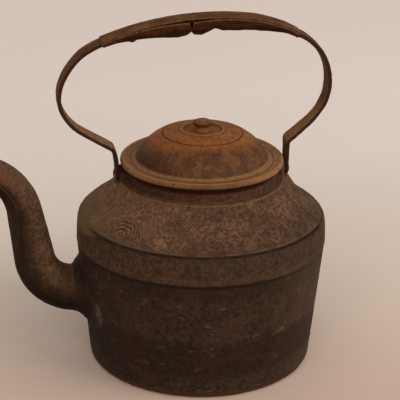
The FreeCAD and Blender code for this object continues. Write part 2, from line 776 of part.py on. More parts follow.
def make_bail_grip():
    """Sheet folded round the strap's edges and rolled beneath it, with an open seam along the front."""
    body = body_named("bail_grip")
    (top, top_radius), (_, (right, right_radius)) = bail_circles()
    top_right, angle_right = touching(top, top_radius, right)
    angle_start = math.acos((-amount("grip_left") - top.x) / top_radius)
    angle_end = math.acos((amount("grip_right") - right.x) / right_radius)
    begin = polar(top, top_radius, angle_start)
    path = sketch_in(body, "XZ_Plane", "GripPath")
    over, down = chain(
        path,
        [
            (Part.Arc(begin, polar(top, top_radius, (angle_start + angle_right) / 2), top_right), begin),
            (
                Part.Arc(
                    top_right,
                    polar(right, right_radius, (angle_right + angle_end) / 2),
                    polar(right, right_radius, angle_end),
                ),
                top_right,
            ),
        ],
    )
    fix(path, "Radius", "bail_top_curve", over[0])
    place_point(path, over[0], 3, "bail_top_x", BAIL_CENTRE_Z)
    fix(path, "DistanceX", "-grip_left", -1, 1, over[0], over[1])
    fix(path, "Radius", "loop_right", down[0])
    fix(path, "DistanceX", "bulge_right - loop_right", -1, 1, down[0], 3)
    fix(path, "DistanceX", "grip_right", -1, 1, down[0], down[2])
    doc.recompute()

    section = body.newObject("Sketcher::SketchObject", "GripSection")
    section.AttachmentSupport = [(path, "Edge1")]
    section.MapMode = "NormalToEdge"
    section.MapPathParameter = 0.0
    inner = "(strap_half + grip_play)"
    outer = "(strap_half + grip_play + grip_sheet)"
    top_in = "(strap_thick / 2 + grip_play)"
    top_out = "(strap_thick / 2 + grip_play + grip_sheet)"
    side_end = "-strap_thick / 2"
    inner_belly = "(grip_belly - grip_sheet)"
    outline(
        section,
        [
            (outer, f"{side_end} + grip_seam"),
            (outer, top_out),
            (f"-{outer}", top_out),
            (f"-{outer}", side_end),
            (outer, side_end),
            (inner, side_end),
            (f"-{inner}", side_end),
            (f"-{inner}", top_in),
            (inner, top_in),
            (inner, f"{side_end} + grip_seam"),
        ],
        {
            3: (f"({outer} * {outer} + grip_belly * grip_belly) / (2 * grip_belly)", 1),
            5: (f"({inner} * {inner} + {inner_belly} * {inner_belly}) / (2 * {inner_belly})", -1),
        },
    )
    doc.recompute()
    rolled = body.newObject("PartDesign::AdditivePipe", "GripRolled")
    rolled.Profile = section
    rolled.Spine = (path, ["Edge1", "Edge2"])
    rolled.Mode = "Standard"
    return body


def make_bail_rivets():
    """A pair of rivets, one each side: domed head outside the strap, shank through the boss and the neck."""
    head_x = "(boss_face + strap_thick + 2 * side_play)"
    half = doc.addObject("Sketcher::SketchObject", "rivet_half")
    half.Placement = FreeCAD.Placement(FreeCAD.Vector(), FreeCAD.Rotation(FreeCAD.Vector(1, 0, 0), 90))
    bind(half, "Placement.Base.z", PIVOT_Z)
    outline(
        half,
        [
            (f"{NECK_BORE} + rivet_recess", "0"),
            (f"{head_x} + rivet_head_height", "0"),
            (head_x, "rivet_head"),
            (head_x, "rivet_radius"),
            (f"{NECK_BORE} + rivet_recess", "rivet_radius"),
        ],
        {1: ("(rivet_head * rivet_head + rivet_head_height * rivet_head_height) / (2 * rivet_head_height)", 1)},
    )
    one = doc.addObject("Part::Revolution", "rivet_right")
    one.Source = half
    one.Axis = (1, 0, 0)
    bind(one, "Base.z", PIVOT_Z)
    one.Angle = 360.0
    one.Solid = True
    other = doc.addObject("Part::Mirroring", "rivet_left")
    other.Source = one
    other.Normal = (1, 0, 0)
    pair = doc.addObject("Part::Compound", "bail_rivets")
    pair.Label = "bail_rivets"
    pair.Links = [one, other]
    return pair


PIECES = [
    make_kettle_body(),
    make_spout(),
    make_lid_pan(),
    make_lid_rim_wire(),
    make_lid_collar(),
    make_lid_knob(),
    make_knob_rivet(),
    make_knob_washer(),
    make_bail_strap(),
    make_bail_grip(),
    make_bail_rivets(),
]

doc.recompute()
for item in doc.Objects:
    if "Invalid" in item.State or "Error" in item.State:
        raise RuntimeError(f"{item.Name} did not build: {item.State}")
for piece in PIECES:
    if piece.Shape.isNull() or not piece.Shape.isValid() or not piece.Shape.Solids:
        raise RuntimeError(f"{piece.Label} has no sound solid")

os.makedirs("parts", exist_ok=True)
for piece in PIECES:
    piece.Shape.exportStep(f"parts/{piece.Label}.step")
    print(f"{piece.Label}: {len(piece.Shape.Solids)} solid, {piece.Shape.Volume / 1000:.2f} cm3")
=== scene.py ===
import math

import bpy
import numpy as np
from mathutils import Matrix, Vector


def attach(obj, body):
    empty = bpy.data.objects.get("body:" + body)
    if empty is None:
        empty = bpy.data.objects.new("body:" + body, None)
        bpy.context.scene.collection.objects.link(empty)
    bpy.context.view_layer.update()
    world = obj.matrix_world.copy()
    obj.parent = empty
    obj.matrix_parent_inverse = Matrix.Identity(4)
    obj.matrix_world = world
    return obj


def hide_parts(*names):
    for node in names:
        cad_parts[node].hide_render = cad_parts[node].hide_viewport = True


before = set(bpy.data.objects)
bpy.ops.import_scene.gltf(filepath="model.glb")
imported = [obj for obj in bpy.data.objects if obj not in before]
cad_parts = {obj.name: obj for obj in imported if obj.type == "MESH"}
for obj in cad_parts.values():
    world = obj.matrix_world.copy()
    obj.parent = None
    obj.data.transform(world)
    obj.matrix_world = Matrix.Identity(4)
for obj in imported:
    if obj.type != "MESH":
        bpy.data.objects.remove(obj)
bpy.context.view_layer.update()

# Kettle casting: base, tapered wall, belt, ridge, hollow-curved shoulder and neck poured in one piece of grey iron.
# It is left as cast, pitted and uneven, and years over a fire have put soot on the wall and brown rust on top.
# The bosses on the neck, which carry the bail, and the worn ornament on the shoulder are part of the same pour.
BASE_RADIUS, BASE_ROUND, BASE_WALL = 110.0, 6.0, 4.5
BELT_LOW, BELT_RADIUS, BELT_STEP = 122.8, 122.8, 0.4
RIDGE_RADIUS, RIDGE_Z = 117.6, 152.3
SHOULDER_CURVE = 180.0
LEDGE_RADIUS, LEDGE_Z, LEDGE_TOP = 80.4, 183.8, 186.2
NECK_RADIUS, NECK_BORE, NECK_TOP = 72.6, 69.2, 204.0
BODY_WALL = 4.0
PIVOT_Z, PIVOT_BORE = 191.5, 3.04
BOSS_FACE, BOSS_HALF, BOSS_TOP = 80.8, 8.0, 199.5
TOE_START, TOE_TOP, TOE_HALF = 86.4, 183.6, 5.5
LEFT_TOE_END, RIGHT_TOE_END = 99.0, 104.0
SPOUT_Z, SPOUT_HOLE = 73.4, 21.5
WALL_LEAN = (BELT_RADIUS - BELT_STEP - BASE_RADIUS) / BELT_LOW
SHOULDER_SLOPE = (LEDGE_Z - RIDGE_Z) / (RIDGE_RADIUS - LEDGE_RADIUS)
MM = 0.001


def smooth_step(low, high, x):
    t = np.clip((x - low) / (high - low), 0.0, 1.0)
    return t * t * (3.0 - 2.0 * t)


def lumps(points, size, seed):
    """Smooth random heights between -1 and 1, with one lump about every size millimetres."""
    where = np.asarray(points) / size + seed * 17.31
    cell = np.floor(where).astype(np.int64)
    part = where - cell
    part = part * part * (3.0 - 2.0 * part)
    total = np.zeros(len(where))
    for corner in np.ndindex(2, 2, 2):
        mixed = (cell + corner) @ np.array([73856093, 19349663, 83492791])
        mixed = (mixed ^ (mixed >> 13)) * 1274126177 % 2147483647
        mixed = (mixed ^ (mixed >> 11)) * 69069 % 1000003
        weight = np.prod(np.where(corner, part, 1.0 - part), axis=1)
        total += weight * (mixed / 500001.5 - 1.0)
    return total


def uneven(points, *layers):
    """Lumps of several sizes together; each layer has its height and size in millimetres and its seed."""
    return sum(height * lumps(points, size, seed) for height, size, seed in layers)


def pitted(points, size, seed, rare, depth):
    """Depths of scattered pits; the higher rare is, the fewer there are."""
    return np.clip(lumps(points, size, seed) - rare, 0.0, 1.0) * depth


def along(corners, step):
    """Points about every step millimetres along a line of corners, the corners kept."""
    points = [np.array(corners[0], float)]
    for start, end in zip(corners, corners[1:]):
        start, end = np.array(start, float), np.array(end, float)
        count = max(1, round(float(np.linalg.norm(end - start)) / step))
        points += [start + (end - start) * (i + 1) / count for i in range(count)]
    return np.array(points)


def eased(points, rounds):
    """Takes the sharpness off a line of points by averaging neighbours; its two ends stay."""
    points = points.copy()
    for _ in range(rounds):
        points[1:-1] = 0.25 * points[:-2] + 0.5 * points[1:-1] + 0.25 * points[2:]
    return points


def arc(centre, radius, start, end, count):
    turns = np.radians(np.linspace(start, end, count))
    return [(centre[0] + radius * math.cos(a), centre[1] + radius * math.sin(a)) for a in turns]


def bulged(start, end, curve, count):
    """Points on an arc of the given radius that bulges to the left of the way between two points."""
    start, end = np.array(start), np.array(end)
    half = np.linalg.norm(end - start) / 2
    chord = (end - start) / (2 * half)
    off = math.sqrt(curve**2 - half**2)
    centre = (start + end) / 2 - off * np.array([-chord[1], chord[0]])
    first = math.degrees(math.atan2(*(start - centre)[::-1]))
    final = math.degrees(math.atan2(*(end - centre)[::-1]))
    return arc(centre, curve, first, final, count)


def turned(profile, count):
    """A round piece from its half section (radius, height), given as a run of points."""
    angles = np.linspace(0.0, 2.0 * math.pi, count, endpoint=False)
    radius, height = profile[:, :1], profile[:, 1:]
    points = np.stack(np.broadcast_arrays(radius * np.cos(angles), radius * np.sin(angles), height), axis=2)
    return points.reshape(-1, 3), ring_faces(len(profile), count)


def ring_faces(rings, count, closed=False):
    """Quads between rings of points laid one after another."""
    row = np.arange(rings if closed else rings - 1)[:, None]
    column = np.arange(count)[None, :]
    following = (column + 1) % count
    below, above = row * count, (row + 1) % rings * count
    return np.stack([below + column, below + following, above + following, above + column], axis=2).reshape(-1, 4)


def end_caps(rings, count):
    """The two faces that close a run of rings at its ends."""
    final = (rings - 1) * count
    return [range(count - 1, -1, -1), range(final, final + count)]


def outward(points, faces):
    """Unit normals at the points, from the faces round them."""
    one, two = points[faces[:, 2]] - points[faces[:, 0]], points[faces[:, 3]] - points[faces[:, 1]]
    across = np.cross(one, two)
    total = np.zeros_like(points)
    for corner in range(4):
        np.add.at(total, faces[:, corner], across)
    return total / np.maximum(np.linalg.norm(total, axis=1, keepdims=True), 1e-12)


def piece_from(name, points, faces, caps=()):
    """A smooth-shaded object from points in millimetres; caps are extra faces of any number of corners."""
    mesh = bpy.data.meshes.new(name)
    mesh.from_pydata((points * MM).tolist(), [], [list(f) for f in faces.tolist()] + [list(c) for c in caps])
    mesh.validate()
    mesh.shade_smooth()
    piece = bpy.data.objects.new(name, mesh)
    bpy.context.scene.collection.objects.link(piece)
    return piece


def settle(piece):
    """Turns an object's modifiers into its mesh."""
    bpy.context.view_layer.update()
    seen = piece.evaluated_get(bpy.context.evaluated_depsgraph_get())
    mesh = bpy.data.meshes.new_from_object(seen)
    piece.modifiers.clear()
    piece.data = mesh
    mesh.shade_smooth()


def points_of(piece, what="co"):
    """The places of a piece's points in millimetres, or their normals."""
    flat = np.zeros(len(piece.data.vertices) * 3)
    piece.data.vertices.foreach_get(what, flat)
    return flat.reshape(-1, 3) / (MM if what == "co" else 1.0)


def keep_tone(piece, name, values):
    """Stores a number at each point of a piece, for its finish to read."""
    stored = piece.data.attributes.new(name, "FLOAT", "POINT")
    stored.data.foreach_set("value", np.ascontiguousarray(values, np.float32))


DRILL_ROUND, DRILL_TURN = 64, 0.037


def drill(piece, start, end, radius):
    """Cuts a round hole between two points in millimetres, its corners turned clear of the piece's own points."""
    start, end = Vector(start) * MM, Vector(end) * MM
    turns = np.linspace(0.0, 2.0 * math.pi, DRILL_ROUND, endpoint=False) + DRILL_TURN
    circle = np.stack([radius * np.cos(turns), radius * np.sin(turns), np.zeros(DRILL_ROUND)], axis=1)
    rod = np.concatenate([circle, circle + [0.0, 0.0, (end - start).length / MM]])
    drill_rod = piece_from("drill", rod, ring_faces(2, DRILL_ROUND), end_caps(2, DRILL_ROUND))
    drill_rod.location = start
    drill_rod.rotation_euler = (end - start).to_track_quat("Z", "Y").to_euler()
    cut = piece.modifiers.new("hole", "BOOLEAN")
    cut.operation, cut.solver, cut.object = "DIFFERENCE", "EXACT", drill_rod
    settle(piece)
    bpy.data.objects.remove(drill_rod)


class Tone:
    """A value that runs over a surface: sums and products of tones add their Math nodes."""

    def __init__(self, tree, socket):
        self.tree, self.socket = tree, socket

    def node(self, kind, settings, inputs, output=0):
        """Adds any node: its settings first, a ramp's stops among them, then its sockets' values and links."""
        made = self.tree.nodes.new(kind)
        for name, value in settings.items():
            if name == "stops":
                while len(made.color_ramp.elements) < len(value):
                    made.color_ramp.elements.new(0.5)
                for element, (place, colour) in zip(made.color_ramp.elements, value):
                    element.position, element.color = place, colour
            else:
                setattr(made, name, value)
        for name, value in inputs.items():
            if isinstance(value, Tone):
                self.tree.links.new(value.socket, made.inputs[name])
            else:
                made.inputs[name].default_value = value
        return Tone(self.tree, made.outputs[output] if made.outputs else None)

    def maths(self, operation, *values):
        return self.node("ShaderNodeMath", {"operation": operation}, dict(enumerate(values)))

    def __add__(self, other):
        return self.maths("ADD", self, other)

    def __radd__(self, other):
        return self.maths("ADD", other, self)

    def __sub__(self, other):
        return self.maths("SUBTRACT", self, other)

    def __rsub__(self, other):
        return self.maths("SUBTRACT", other, self)

    def __mul__(self, other):
        return self.maths("MULTIPLY", self, other)

    def __rmul__(self, other):
        return self.maths("MULTIPLY", other, self)

    def between(self, low, high):
        """0 below low and 1 above high, with a soft rise."""
        return self.node(
            "ShaderNodeMapRange",
            {"interpolation_type": "SMOOTHSTEP"},
            {"Value": self, "From Min": low, "From Max": high},
        )

    def band(self, low, high, soft):
        """1 from low to high and 0 outside, with soft ends."""
        return self.between(low - soft, low) * (1.0 - self.between(high, high + soft))

    def frayed(self, noise, by):
        """This tone shifted to and fro by a noise, so that an edge on it runs ragged."""
        return self + (noise - 0.5) * by

    def mix(self, one, other):
        """A colour between two, by this tone."""
        return self.node(
            "ShaderNodeMix", {"data_type": "RGBA", "clamp_factor": True}, {0: self, 6: one, 7: other}, 2
        )

    def stretched(self, x, y, z):
        """This place drawn out, so that grain on it runs in streaks."""
        return self.node("ShaderNodeVectorMath", {"operation": "MULTIPLY"}, {0: self, 1: (x, y, z)})

    def grain(self, size, detail=4.0, rough=0.55, shift=0.0):
        """Noise over this place, with lumps of the given size in millimetres."""
        moved = self.node("ShaderNodeVectorMath", {"operation": "ADD"}, {0: self, 1: (shift, shift * 0.7, shift * 1.3)})
        return self.node(
            "ShaderNodeTexNoise",
            {},
            {"Vector": moved, "Scale": 0.6 / (size * MM), "Detail": detail, "Roughness": rough},
        )

    def part(self, axis):
        """One coordinate of this place, in millimetres."""
        return self.node("ShaderNodeSeparateXYZ", {}, {0: self}, axis) * 1000.0

    def facing(self, axis):
        """How far the surface here faces along one of the piece's own axes, from -1 to 1."""
        normal = self.node("ShaderNodeTexCoord", {}, {}, 1)
        return self.node("ShaderNodeSeparateXYZ", {}, {0: normal}, axis)

    def kept(self, name):
        """The number that keep_tone stored at the points."""
        return self.node("ShaderNodeAttribute", {"attribute_name": name}, {}, 2)


def place_of(material):
    """The place on the piece, in the kettle's own frame, from which a finish is worked out."""
    material.use_nodes = True
    material.node_tree.nodes.clear()
    start = Tone(material.node_tree, None)
    return start.node("ShaderNodeTexCoord", {}, {}, 3)


def finish_with(place, colour, roughness, height, depth, specular):
    """Closes a finish: colour, roughness and a fine relief whose depth is in millimetres."""
    bump = place.node("ShaderNodeBump", {}, {"Height": height, "Distance": depth * MM, "Strength": 1.0})
    shader = place.node(
        "ShaderNodeBsdfPrincipled",
        {},
        {"Base Color": colour, "Roughness": roughness, "Normal": bump, "Specular IOR Level": specular},
    )
    place.node("ShaderNodeOutputMaterial", {}, {"Surface": shader})


def rgb(red, green, blue):
    """A colour as a painter names it, 0 to 255, turned into light."""
    parts = [c / 255.0 for c in (red, green, blue)]
    return (*[c / 12.92 if c <= 0.04045 else ((c + 0.055) / 1.055) ** 2.4 for c in parts], 1.0)


def laid_over(colour, *coats):
    """A colour with others laid over it in turn, each given as the tone it follows and the colour itself."""
    for tone, coat in coats:
        colour = tone.mix(colour, coat)
    return colour


def dress(piece, material):
    """Gives a piece one finish all over."""
    piece.data.materials.clear()
    piece.data.materials.append(material)


ORNAMENT_TURN, ORNAMENT_RADIUS, ORNAMENT_HEIGHT, GRIME_SPREAD = math.radians(97.0), 107.0, 0.7, 2.2
PLUME_FOOT, PLUME_TIP, PLUME_STRANDS = np.array([38.0, 0.5]), np.array([68.0, 30.0]), 7
BRAIDS, BRAID_WAVE, BRAID_LENGTH = ((14.0, 33.0), (28.0, 42.0)), 2.7, 8.6
SCROLL_OUT, SCROLL_UP, SCROLL_FROM, SCROLL_RINGS = 84.0, 7.0, 66.0, (4.0, 8.0, 12.0, 16.0)


def stroke(off, half):
    """Height of a rounded ridge, 1 on its line and 0 from half its width away."""
    return np.clip(1.0 - (off / half) ** 2, 0.0, 1.0)


def ornament(points, spread=1.0):
    """Heights of the worn ornament: mirrored wavy plumes round the shoulder, braided bands and scrolls between them.

    A spread above 1 gives the wider ground round the strokes, where soot is caught.
    """
    turn = np.arctan2(points[:, 1], points[:, 0]) + ORNAMENT_TURN
    quarter = math.pi / 2
    across = ((turn + quarter / 2) % quarter - quarter / 2) * ORNAMENT_RADIUS
    climb = (points[:, 2] - RIDGE_Z) * math.hypot(1.0, SHOULDER_SLOPE) / SHOULDER_SLOPE
    height = np.zeros(len(points))
    length = np.linalg.norm(PLUME_TIP - PLUME_FOOT)
    lead = (PLUME_TIP - PLUME_FOOT) / length
    out, up = np.abs(across) - PLUME_FOOT[0], climb - PLUME_FOOT[1]
    share, off = (out * lead[0] + up * lead[1]) / length, up * lead[0] - out * lead[1]
    for strand in range(PLUME_STRANDS):
        lane = (strand - (PLUME_STRANDS - 1) / 2) * (1.6 + 1.7 * share) + 2.2 * np.sin(8.6 * share + 0.4)
        end = 0.92 + 0.07 * (strand % 3)
        fade = smooth_step(0.0, 0.07, share) * (1.0 - smooth_step(end - 0.08, end, share))
        height = np.maximum(height, fade * stroke(off - lane, 1.1 * spread))
    for middle, reach in BRAIDS:
        wave = BRAID_WAVE * np.sin(across * (2.0 * math.pi / BRAID_LENGTH) + middle)
        band = np.maximum(stroke(climb - middle - wave, spread), stroke(climb - middle + wave, spread))
        band = np.maximum(band, 0.7 * stroke(np.abs(climb - middle) - 4.6, 0.7 * spread))
        height = np.maximum(height, band * (np.abs(across) < reach))
    scroll = np.hypot(np.abs(across) - SCROLL_OUT, climb - SCROLL_UP)
    for ring in SCROLL_RINGS:
        arcs = stroke(scroll - ring - 0.8 * np.sin(0.35 * np.abs(across)), 1.1 * spread)
        height = np.maximum(height, arcs * (climb > SCROLL_UP) * (np.abs(across) > SCROLL_FROM))
    worn = 0.3 + 0.7 * smooth_step(-0.6, 0.3, lumps(points, 13.0, 6))
    worn = worn * (1.0 - 0.45 * smooth_step(-30.0, 30.0, points[:, 0]))
    beyond = np.hypot(points[:, 0], points[:, 1]) > LEDGE_RADIUS + 0.3
    return height * worn * beyond * smooth_step(1.0, 2.2, climb) * (1.0 - smooth_step(40.0, 44.0, climb))


def wall_at(z):
    return BASE_RADIUS + WALL_LEAN * z


wall_angle = -math.degrees(math.atan(WALL_LEAN))
base_centre = (BASE_RADIUS + (WALL_LEAN - math.hypot(1.0, WALL_LEAN)) * BASE_ROUND, BASE_ROUND)
wall_line = along(
    [*arc(base_centre, BASE_ROUND, -90.0, wall_angle, 9), (wall_at(BELT_LOW - 3.4), BELT_LOW - 3.4)], 1.25
)
belt_line = along(
    [
        (wall_at(BELT_LOW) - 0.75, BELT_LOW - 1.4),
        (BELT_RADIUS - 0.2, BELT_LOW + 0.4),
        (BELT_RADIUS, BELT_LOW + 1.6),
        (RIDGE_RADIUS + 4.5, RIDGE_Z - 11.0),
        (RIDGE_RADIUS + 4.1, RIDGE_Z - 6.6),
        (RIDGE_RADIUS + 3.4, RIDGE_Z - 4.1),
        (RIDGE_RADIUS + 2.0, RIDGE_Z - 2.4),
        (RIDGE_RADIUS + 0.2, RIDGE_Z - 2.0),
        (RIDGE_RADIUS + 0.3, RIDGE_Z - 1.2),
        (RIDGE_RADIUS, RIDGE_Z - 0.4),
    ],
    0.65,
)
shoulder_line = np.array(bulged((RIDGE_RADIUS - 0.7, RIDGE_Z), (LEDGE_RADIUS, LEDGE_Z), SHOULDER_CURVE, 76)[:-1])
neck_line = along(
    [
        (LEDGE_RADIUS, LEDGE_Z),
        (LEDGE_RADIUS, LEDGE_TOP - 0.5),
        (LEDGE_RADIUS - 0.5, LEDGE_TOP),
        (NECK_RADIUS + 0.6, LEDGE_TOP),
        (NECK_RADIUS, LEDGE_TOP + 0.6),
        (NECK_RADIUS, NECK_TOP),
        (NECK_BORE, NECK_TOP),
    ],
    0.75,
)
outside_line = eased(np.concatenate([wall_line, belt_line, shoulder_line, neck_line]), 1)
cavity_centre = (base_centre[0] - BODY_WALL, BASE_WALL + BASE_ROUND)
roof_low = (RIDGE_RADIUS - BODY_WALL, RIDGE_Z - BODY_WALL * (1.3 - SHOULDER_SLOPE))
roof_high = (NECK_BORE, RIDGE_Z + (RIDGE_RADIUS - NECK_BORE) * SHOULDER_SLOPE - 1.3 * BODY_WALL)
casting_inside = [
    (NECK_BORE, NECK_TOP),
    *bulged(roof_low, roof_high, SHOULDER_CURVE, 12)[::-1],
    (BELT_RADIUS - BELT_STEP - BODY_WALL, BELT_LOW),
    *arc(cavity_centre, BASE_ROUND, wall_angle, -90.0, 5),
]
inside_line = along(casting_inside, 4.0)[1:]
flat_base = np.array([(4.0, 0.0), (50.0, 0.0), (85.0, 0.0)])
flat_floor = np.array([(80.0, BASE_WALL), (40.0, BASE_WALL), (4.0, BASE_WALL)])
casting_line = np.concatenate([flat_base, outside_line, inside_line, flat_floor])
CASTING_ROUND = 720
casting_points, casting_faces = turned(casting_line, CASTING_ROUND)
casting_normals = outward(casting_points, casting_faces)
outer = np.zeros(len(casting_line), bool)
outer[len(flat_base) + 3 : len(flat_base) + len(outside_line) - 8] = True
outer = np.repeat(outer, CASTING_ROUND)

skin = casting_points[outer]
height = skin[:, 2]
swell = uneven(skin, (0.28, 38.0, 1), (0.16, 9.0, 2), (0.14, 4.2, 3), (0.08, 2.7, 7))
pits = pitted(skin, 2.6, 4, rare=0.45, depth=0.45) + pitted(skin, 6.0, 5, rare=0.55, depth=0.5)
rub = 1.0 - 0.7 * smooth_step(LEDGE_Z, LEDGE_TOP + 1.0, height)
moved = skin + casting_normals[outer] * ((swell - pits) * rub + ORNAMENT_HEIGHT * ornament(skin))[:, None]
side = np.sign(moved[:, 0])
reach = np.abs(moved[:, 0])
seat_mask = (1.0 - smooth_step(BOSS_HALF - 1.2, BOSS_HALF + 1.4, np.abs(moved[:, 1]))) * (
    1.0 - smooth_step(BOSS_TOP - 1.2, BOSS_TOP + 0.6, height)
)
seat = (reach > 40.0) & (height > LEDGE_Z - 6.0)
reach = np.where(seat, np.maximum(reach, reach + (BOSS_FACE - reach) * seat_mask), reach)
toe_end = np.where(side > 0.0, RIGHT_TOE_END, LEFT_TOE_END)
toe_run = np.clip((reach - TOE_START) / (toe_end - TOE_START), 0.0, 1.0)
toe_foot = RIDGE_Z + (RIDGE_RADIUS - toe_end) * SHOULDER_SLOPE - 2.2
toe_line = toe_foot + (TOE_TOP - toe_foot) * (1.0 - toe_run) ** 1.3
toe_mask = (1.0 - smooth_step(TOE_HALF - 1.0, TOE_HALF + 3.0, np.abs(moved[:, 1]))) * (reach > 78.0)
toe_mask = toe_mask * (height < TOE_TOP) * (reach < toe_end)
raised = np.maximum(moved[:, 2], moved[:, 2] + (toe_line - moved[:, 2]) * toe_mask)
moved[:, 2] = np.where(toe_mask > 0.0, raised, moved[:, 2])
moved[:, 0] = side * reach
casting_points[outer] = moved
kettle_casting = piece_from(
    "kettle_casting", casting_points, casting_faces, end_caps(len(casting_line), CASTING_ROUND)
)
drill(kettle_casting, (-90.0, 0.0, SPOUT_Z), (-140.0, 0.0, SPOUT_Z), SPOUT_HOLE)
for start, end in ((-100.0, -60.0), (60.0, 100.0)):
    drill(kettle_casting, (start, 0.0, PIVOT_Z), (end, 0.0, PIVOT_Z), PIVOT_BORE)
strokes, ground = [ornament(points_of(kettle_casting), spread) for spread in (1.0, GRIME_SPREAD)]
keep_tone(kettle_casting, "wear", strokes)
keep_tone(kettle_casting, "grime", np.maximum(ground - 1.4 * strokes, 0.0))

SOOT_BLACK, SOOT_GREY, SOOT_ASH, SOOT_TAN = rgb(35, 25, 18), rgb(58, 42, 31), rgb(64, 47, 34), rgb(65, 45, 30)
SOOT_GRAIN, SOOT_FLECK, GLINT_PALE = rgb(36, 25, 17), rgb(100, 85, 70), rgb(116, 104, 91)
WALL_PAINTED_SHADE, WALL_PAINTED_LIGHT, WALL_FOOT = rgb(30, 19, 13), rgb(80, 60, 45), rgb(76, 43, 22)
WALL_LOW, WALL_UNDER_BELT_SHADE, GLINT_SPOT = rgb(28, 17, 9), rgb(34, 20, 11), (-106.0, -48.0, 65.0)
BELT_DARK, BELT_TAN, BELT_FLUSH, BELT_GRAIN = rgb(48, 33, 22), rgb(72, 51, 36), rgb(82, 58, 41), rgb(36, 24, 15)
BELT_RUBBED, BELT_SHADE, BELT_UNDERSIDE_SHADOW = rgb(86, 62, 44), rgb(38, 22, 12), rgb(34, 19, 9)
SHOULDER_DARK, SHOULDER_TAN, SHOULDER_FLUSH = rgb(58, 39, 26), rgb(92, 64, 44), rgb(114, 83, 57)
SHOULDER_GRAIN, SHOULDER_LOW, SHOULDER_GRIME = rgb(48, 31, 20), rgb(44, 29, 19), rgb(42, 27, 17)
SHOULDER_LEFT_LIT_DARK, SHOULDER_LEFT_LIT_PALE, SHOULDER_FAR_LEFT_LIT = rgb(86, 60, 40), rgb(122, 90, 63), rgb(116, 88, 54)
STROKE_PALE, STROKE_DARK = rgb(138, 102, 72), rgb(100, 72, 50)
RIDGE_GROOVE_SHADOW, RIDGE_BEAD_HIGHLIGHT = rgb(32, 17, 8), rgb(86, 61, 44)
NECK_PALE, NECK_DARK, NECK_LEFT = rgb(84, 56, 39), rgb(58, 36, 24), rgb(50, 27, 13)
LEDGE_RUBBED_HIGHLIGHT, NECK_UNDER_RIM_SHADOW, POST_DARK, POST_PALE = rgb(104, 76, 52), rgb(40, 7, 3), rgb(86, 60, 40), rgb(116, 85, 58)
sooted_iron = bpy.data.materials.new("sooted_iron")
spot = place_of(sooted_iron)
x_here, y_here, height_here = [spot.part(axis) for axis in range(3)]
wear, grime = spot.kept("wear"), spot.kept("grime")
blotch = spot.grain(30.0, 4.0, 0.55)
flush = spot.grain(11.0, 4.0, 0.6, 8.3)
speck = spot.grain(2.6, 4.0, 0.62, 3.1)
mottle = spot.grain(1.8, 3.0, 0.6, 5.5)
fine = spot.grain(1.0, 3.0, 0.6, 7.7)
fleck = spot.stretched(0.4, 0.4, 1.0).grain(3.6, 3.0, 0.6, 12.6)
# painted highlight: a pale grey patch on the wall's left, just below the spout's root
glint_x, glint_y, glint_z = x_here - GLINT_SPOT[0], y_here - GLINT_SPOT[1], height_here - GLINT_SPOT[2]
glint = 1.0 - (glint_x * glint_x + glint_y * glint_y + glint_z * glint_z * 0.3).between(0.0, 70.0)
# the wall's soot, with painted shade on its left side and painted light on its right side
soot_and_side_light = laid_over(
    speck.between(0.34, 0.66).mix(SOOT_BLACK, SOOT_GREY),
    (flush.between(0.46, 0.64) * mottle.between(0.36, 0.64), SOOT_ASH),
    (blotch.between(0.5, 0.66) * speck.between(0.34, 0.64), SOOT_TAN),
    (fine.between(0.54, 0.76), SOOT_GRAIN),
    (fleck.between(0.6, 0.68) * flush.between(0.42, 0.58) * 0.6, SOOT_FLECK),
    # painted shade: the wall darker towards its left side
    (0.45 - 0.45 * x_here.frayed(flush, 60.0).between(-115.0, -45.0), WALL_PAINTED_SHADE),
    # painted light: the wall lighter towards its right side
    (x_here.frayed(flush, 50.0).between(35.0, 105.0) * 0.4, WALL_PAINTED_LIGHT),
    (1.0 - height_here.frayed(flush, 8.0).between(2.0, 9.0), WALL_FOOT),
    (height_here.frayed(flush, 16.0).band(30.0, 56.0, 12.0) * 0.5, WALL_LOW),
    # painted shade: a soft dark band on the wall under the belt's lower edge, weaker on the right
    (height_here.band(BELT_LOW - 10.8, BELT_LOW - 0.8, 9.0) * (0.45 - 0.3 * x_here.between(30.0, 100.0)), WALL_UNDER_BELT_SHADE),
    # painted highlight patch
    (glint * mottle.between(0.3, 0.66) * 0.5, GLINT_PALE),
)
belt_brown = laid_over(
    speck.between(0.34, 0.66).mix(BELT_DARK, BELT_TAN),
    (flush.between(0.42, 0.6) * mottle.between(0.44, 0.64), BELT_FLUSH),
    (fine.between(0.54, 0.72), BELT_GRAIN),
    (height_here.band(BELT_LOW + 2.7, BELT_LOW + 6.2, 2.5) * 0.2, BELT_RUBBED),
)
shoulder_brown = laid_over(
    speck.between(0.34, 0.66).mix(SHOULDER_DARK, SHOULDER_TAN),
    (flush.between(0.4, 0.6) * mottle.between(0.42, 0.6), SHOULDER_FLUSH),
    (fine.between(0.52, 0.7), SHOULDER_GRAIN),
    # painted light: the shoulder lighter towards its left side, and most at the far left
    (0.75 - 0.75 * x_here.between(-95.0, 5.0), mottle.between(0.36, 0.64).mix(SHOULDER_LEFT_LIT_DARK, SHOULDER_LEFT_LIT_PALE)),
    (0.6 - 0.6 * x_here.between(-112.0, -86.0), SHOULDER_FAR_LEFT_LIT),
    (0.4 - 0.4 * height_here.frayed(flush, 8.0).between(RIDGE_Z + 0.7, RIDGE_Z + 14.7), SHOULDER_LOW),
    (grime * 0.75, SHOULDER_GRIME),
    (wear.between(0.2, 0.75) * speck.between(0.3, 0.6), mottle.between(0.3, 0.7).mix(STROKE_PALE, STROKE_DARK)),
)
neck_brown = laid_over(
    speck.between(0.36, 0.68).mix(NECK_PALE, NECK_DARK),
    (0.5 - 0.5 * x_here.between(-60.0, -15.0), NECK_LEFT),
)
rust_run = spot.maths("ABSOLUTE", x_here).between(104.0, 121.0)
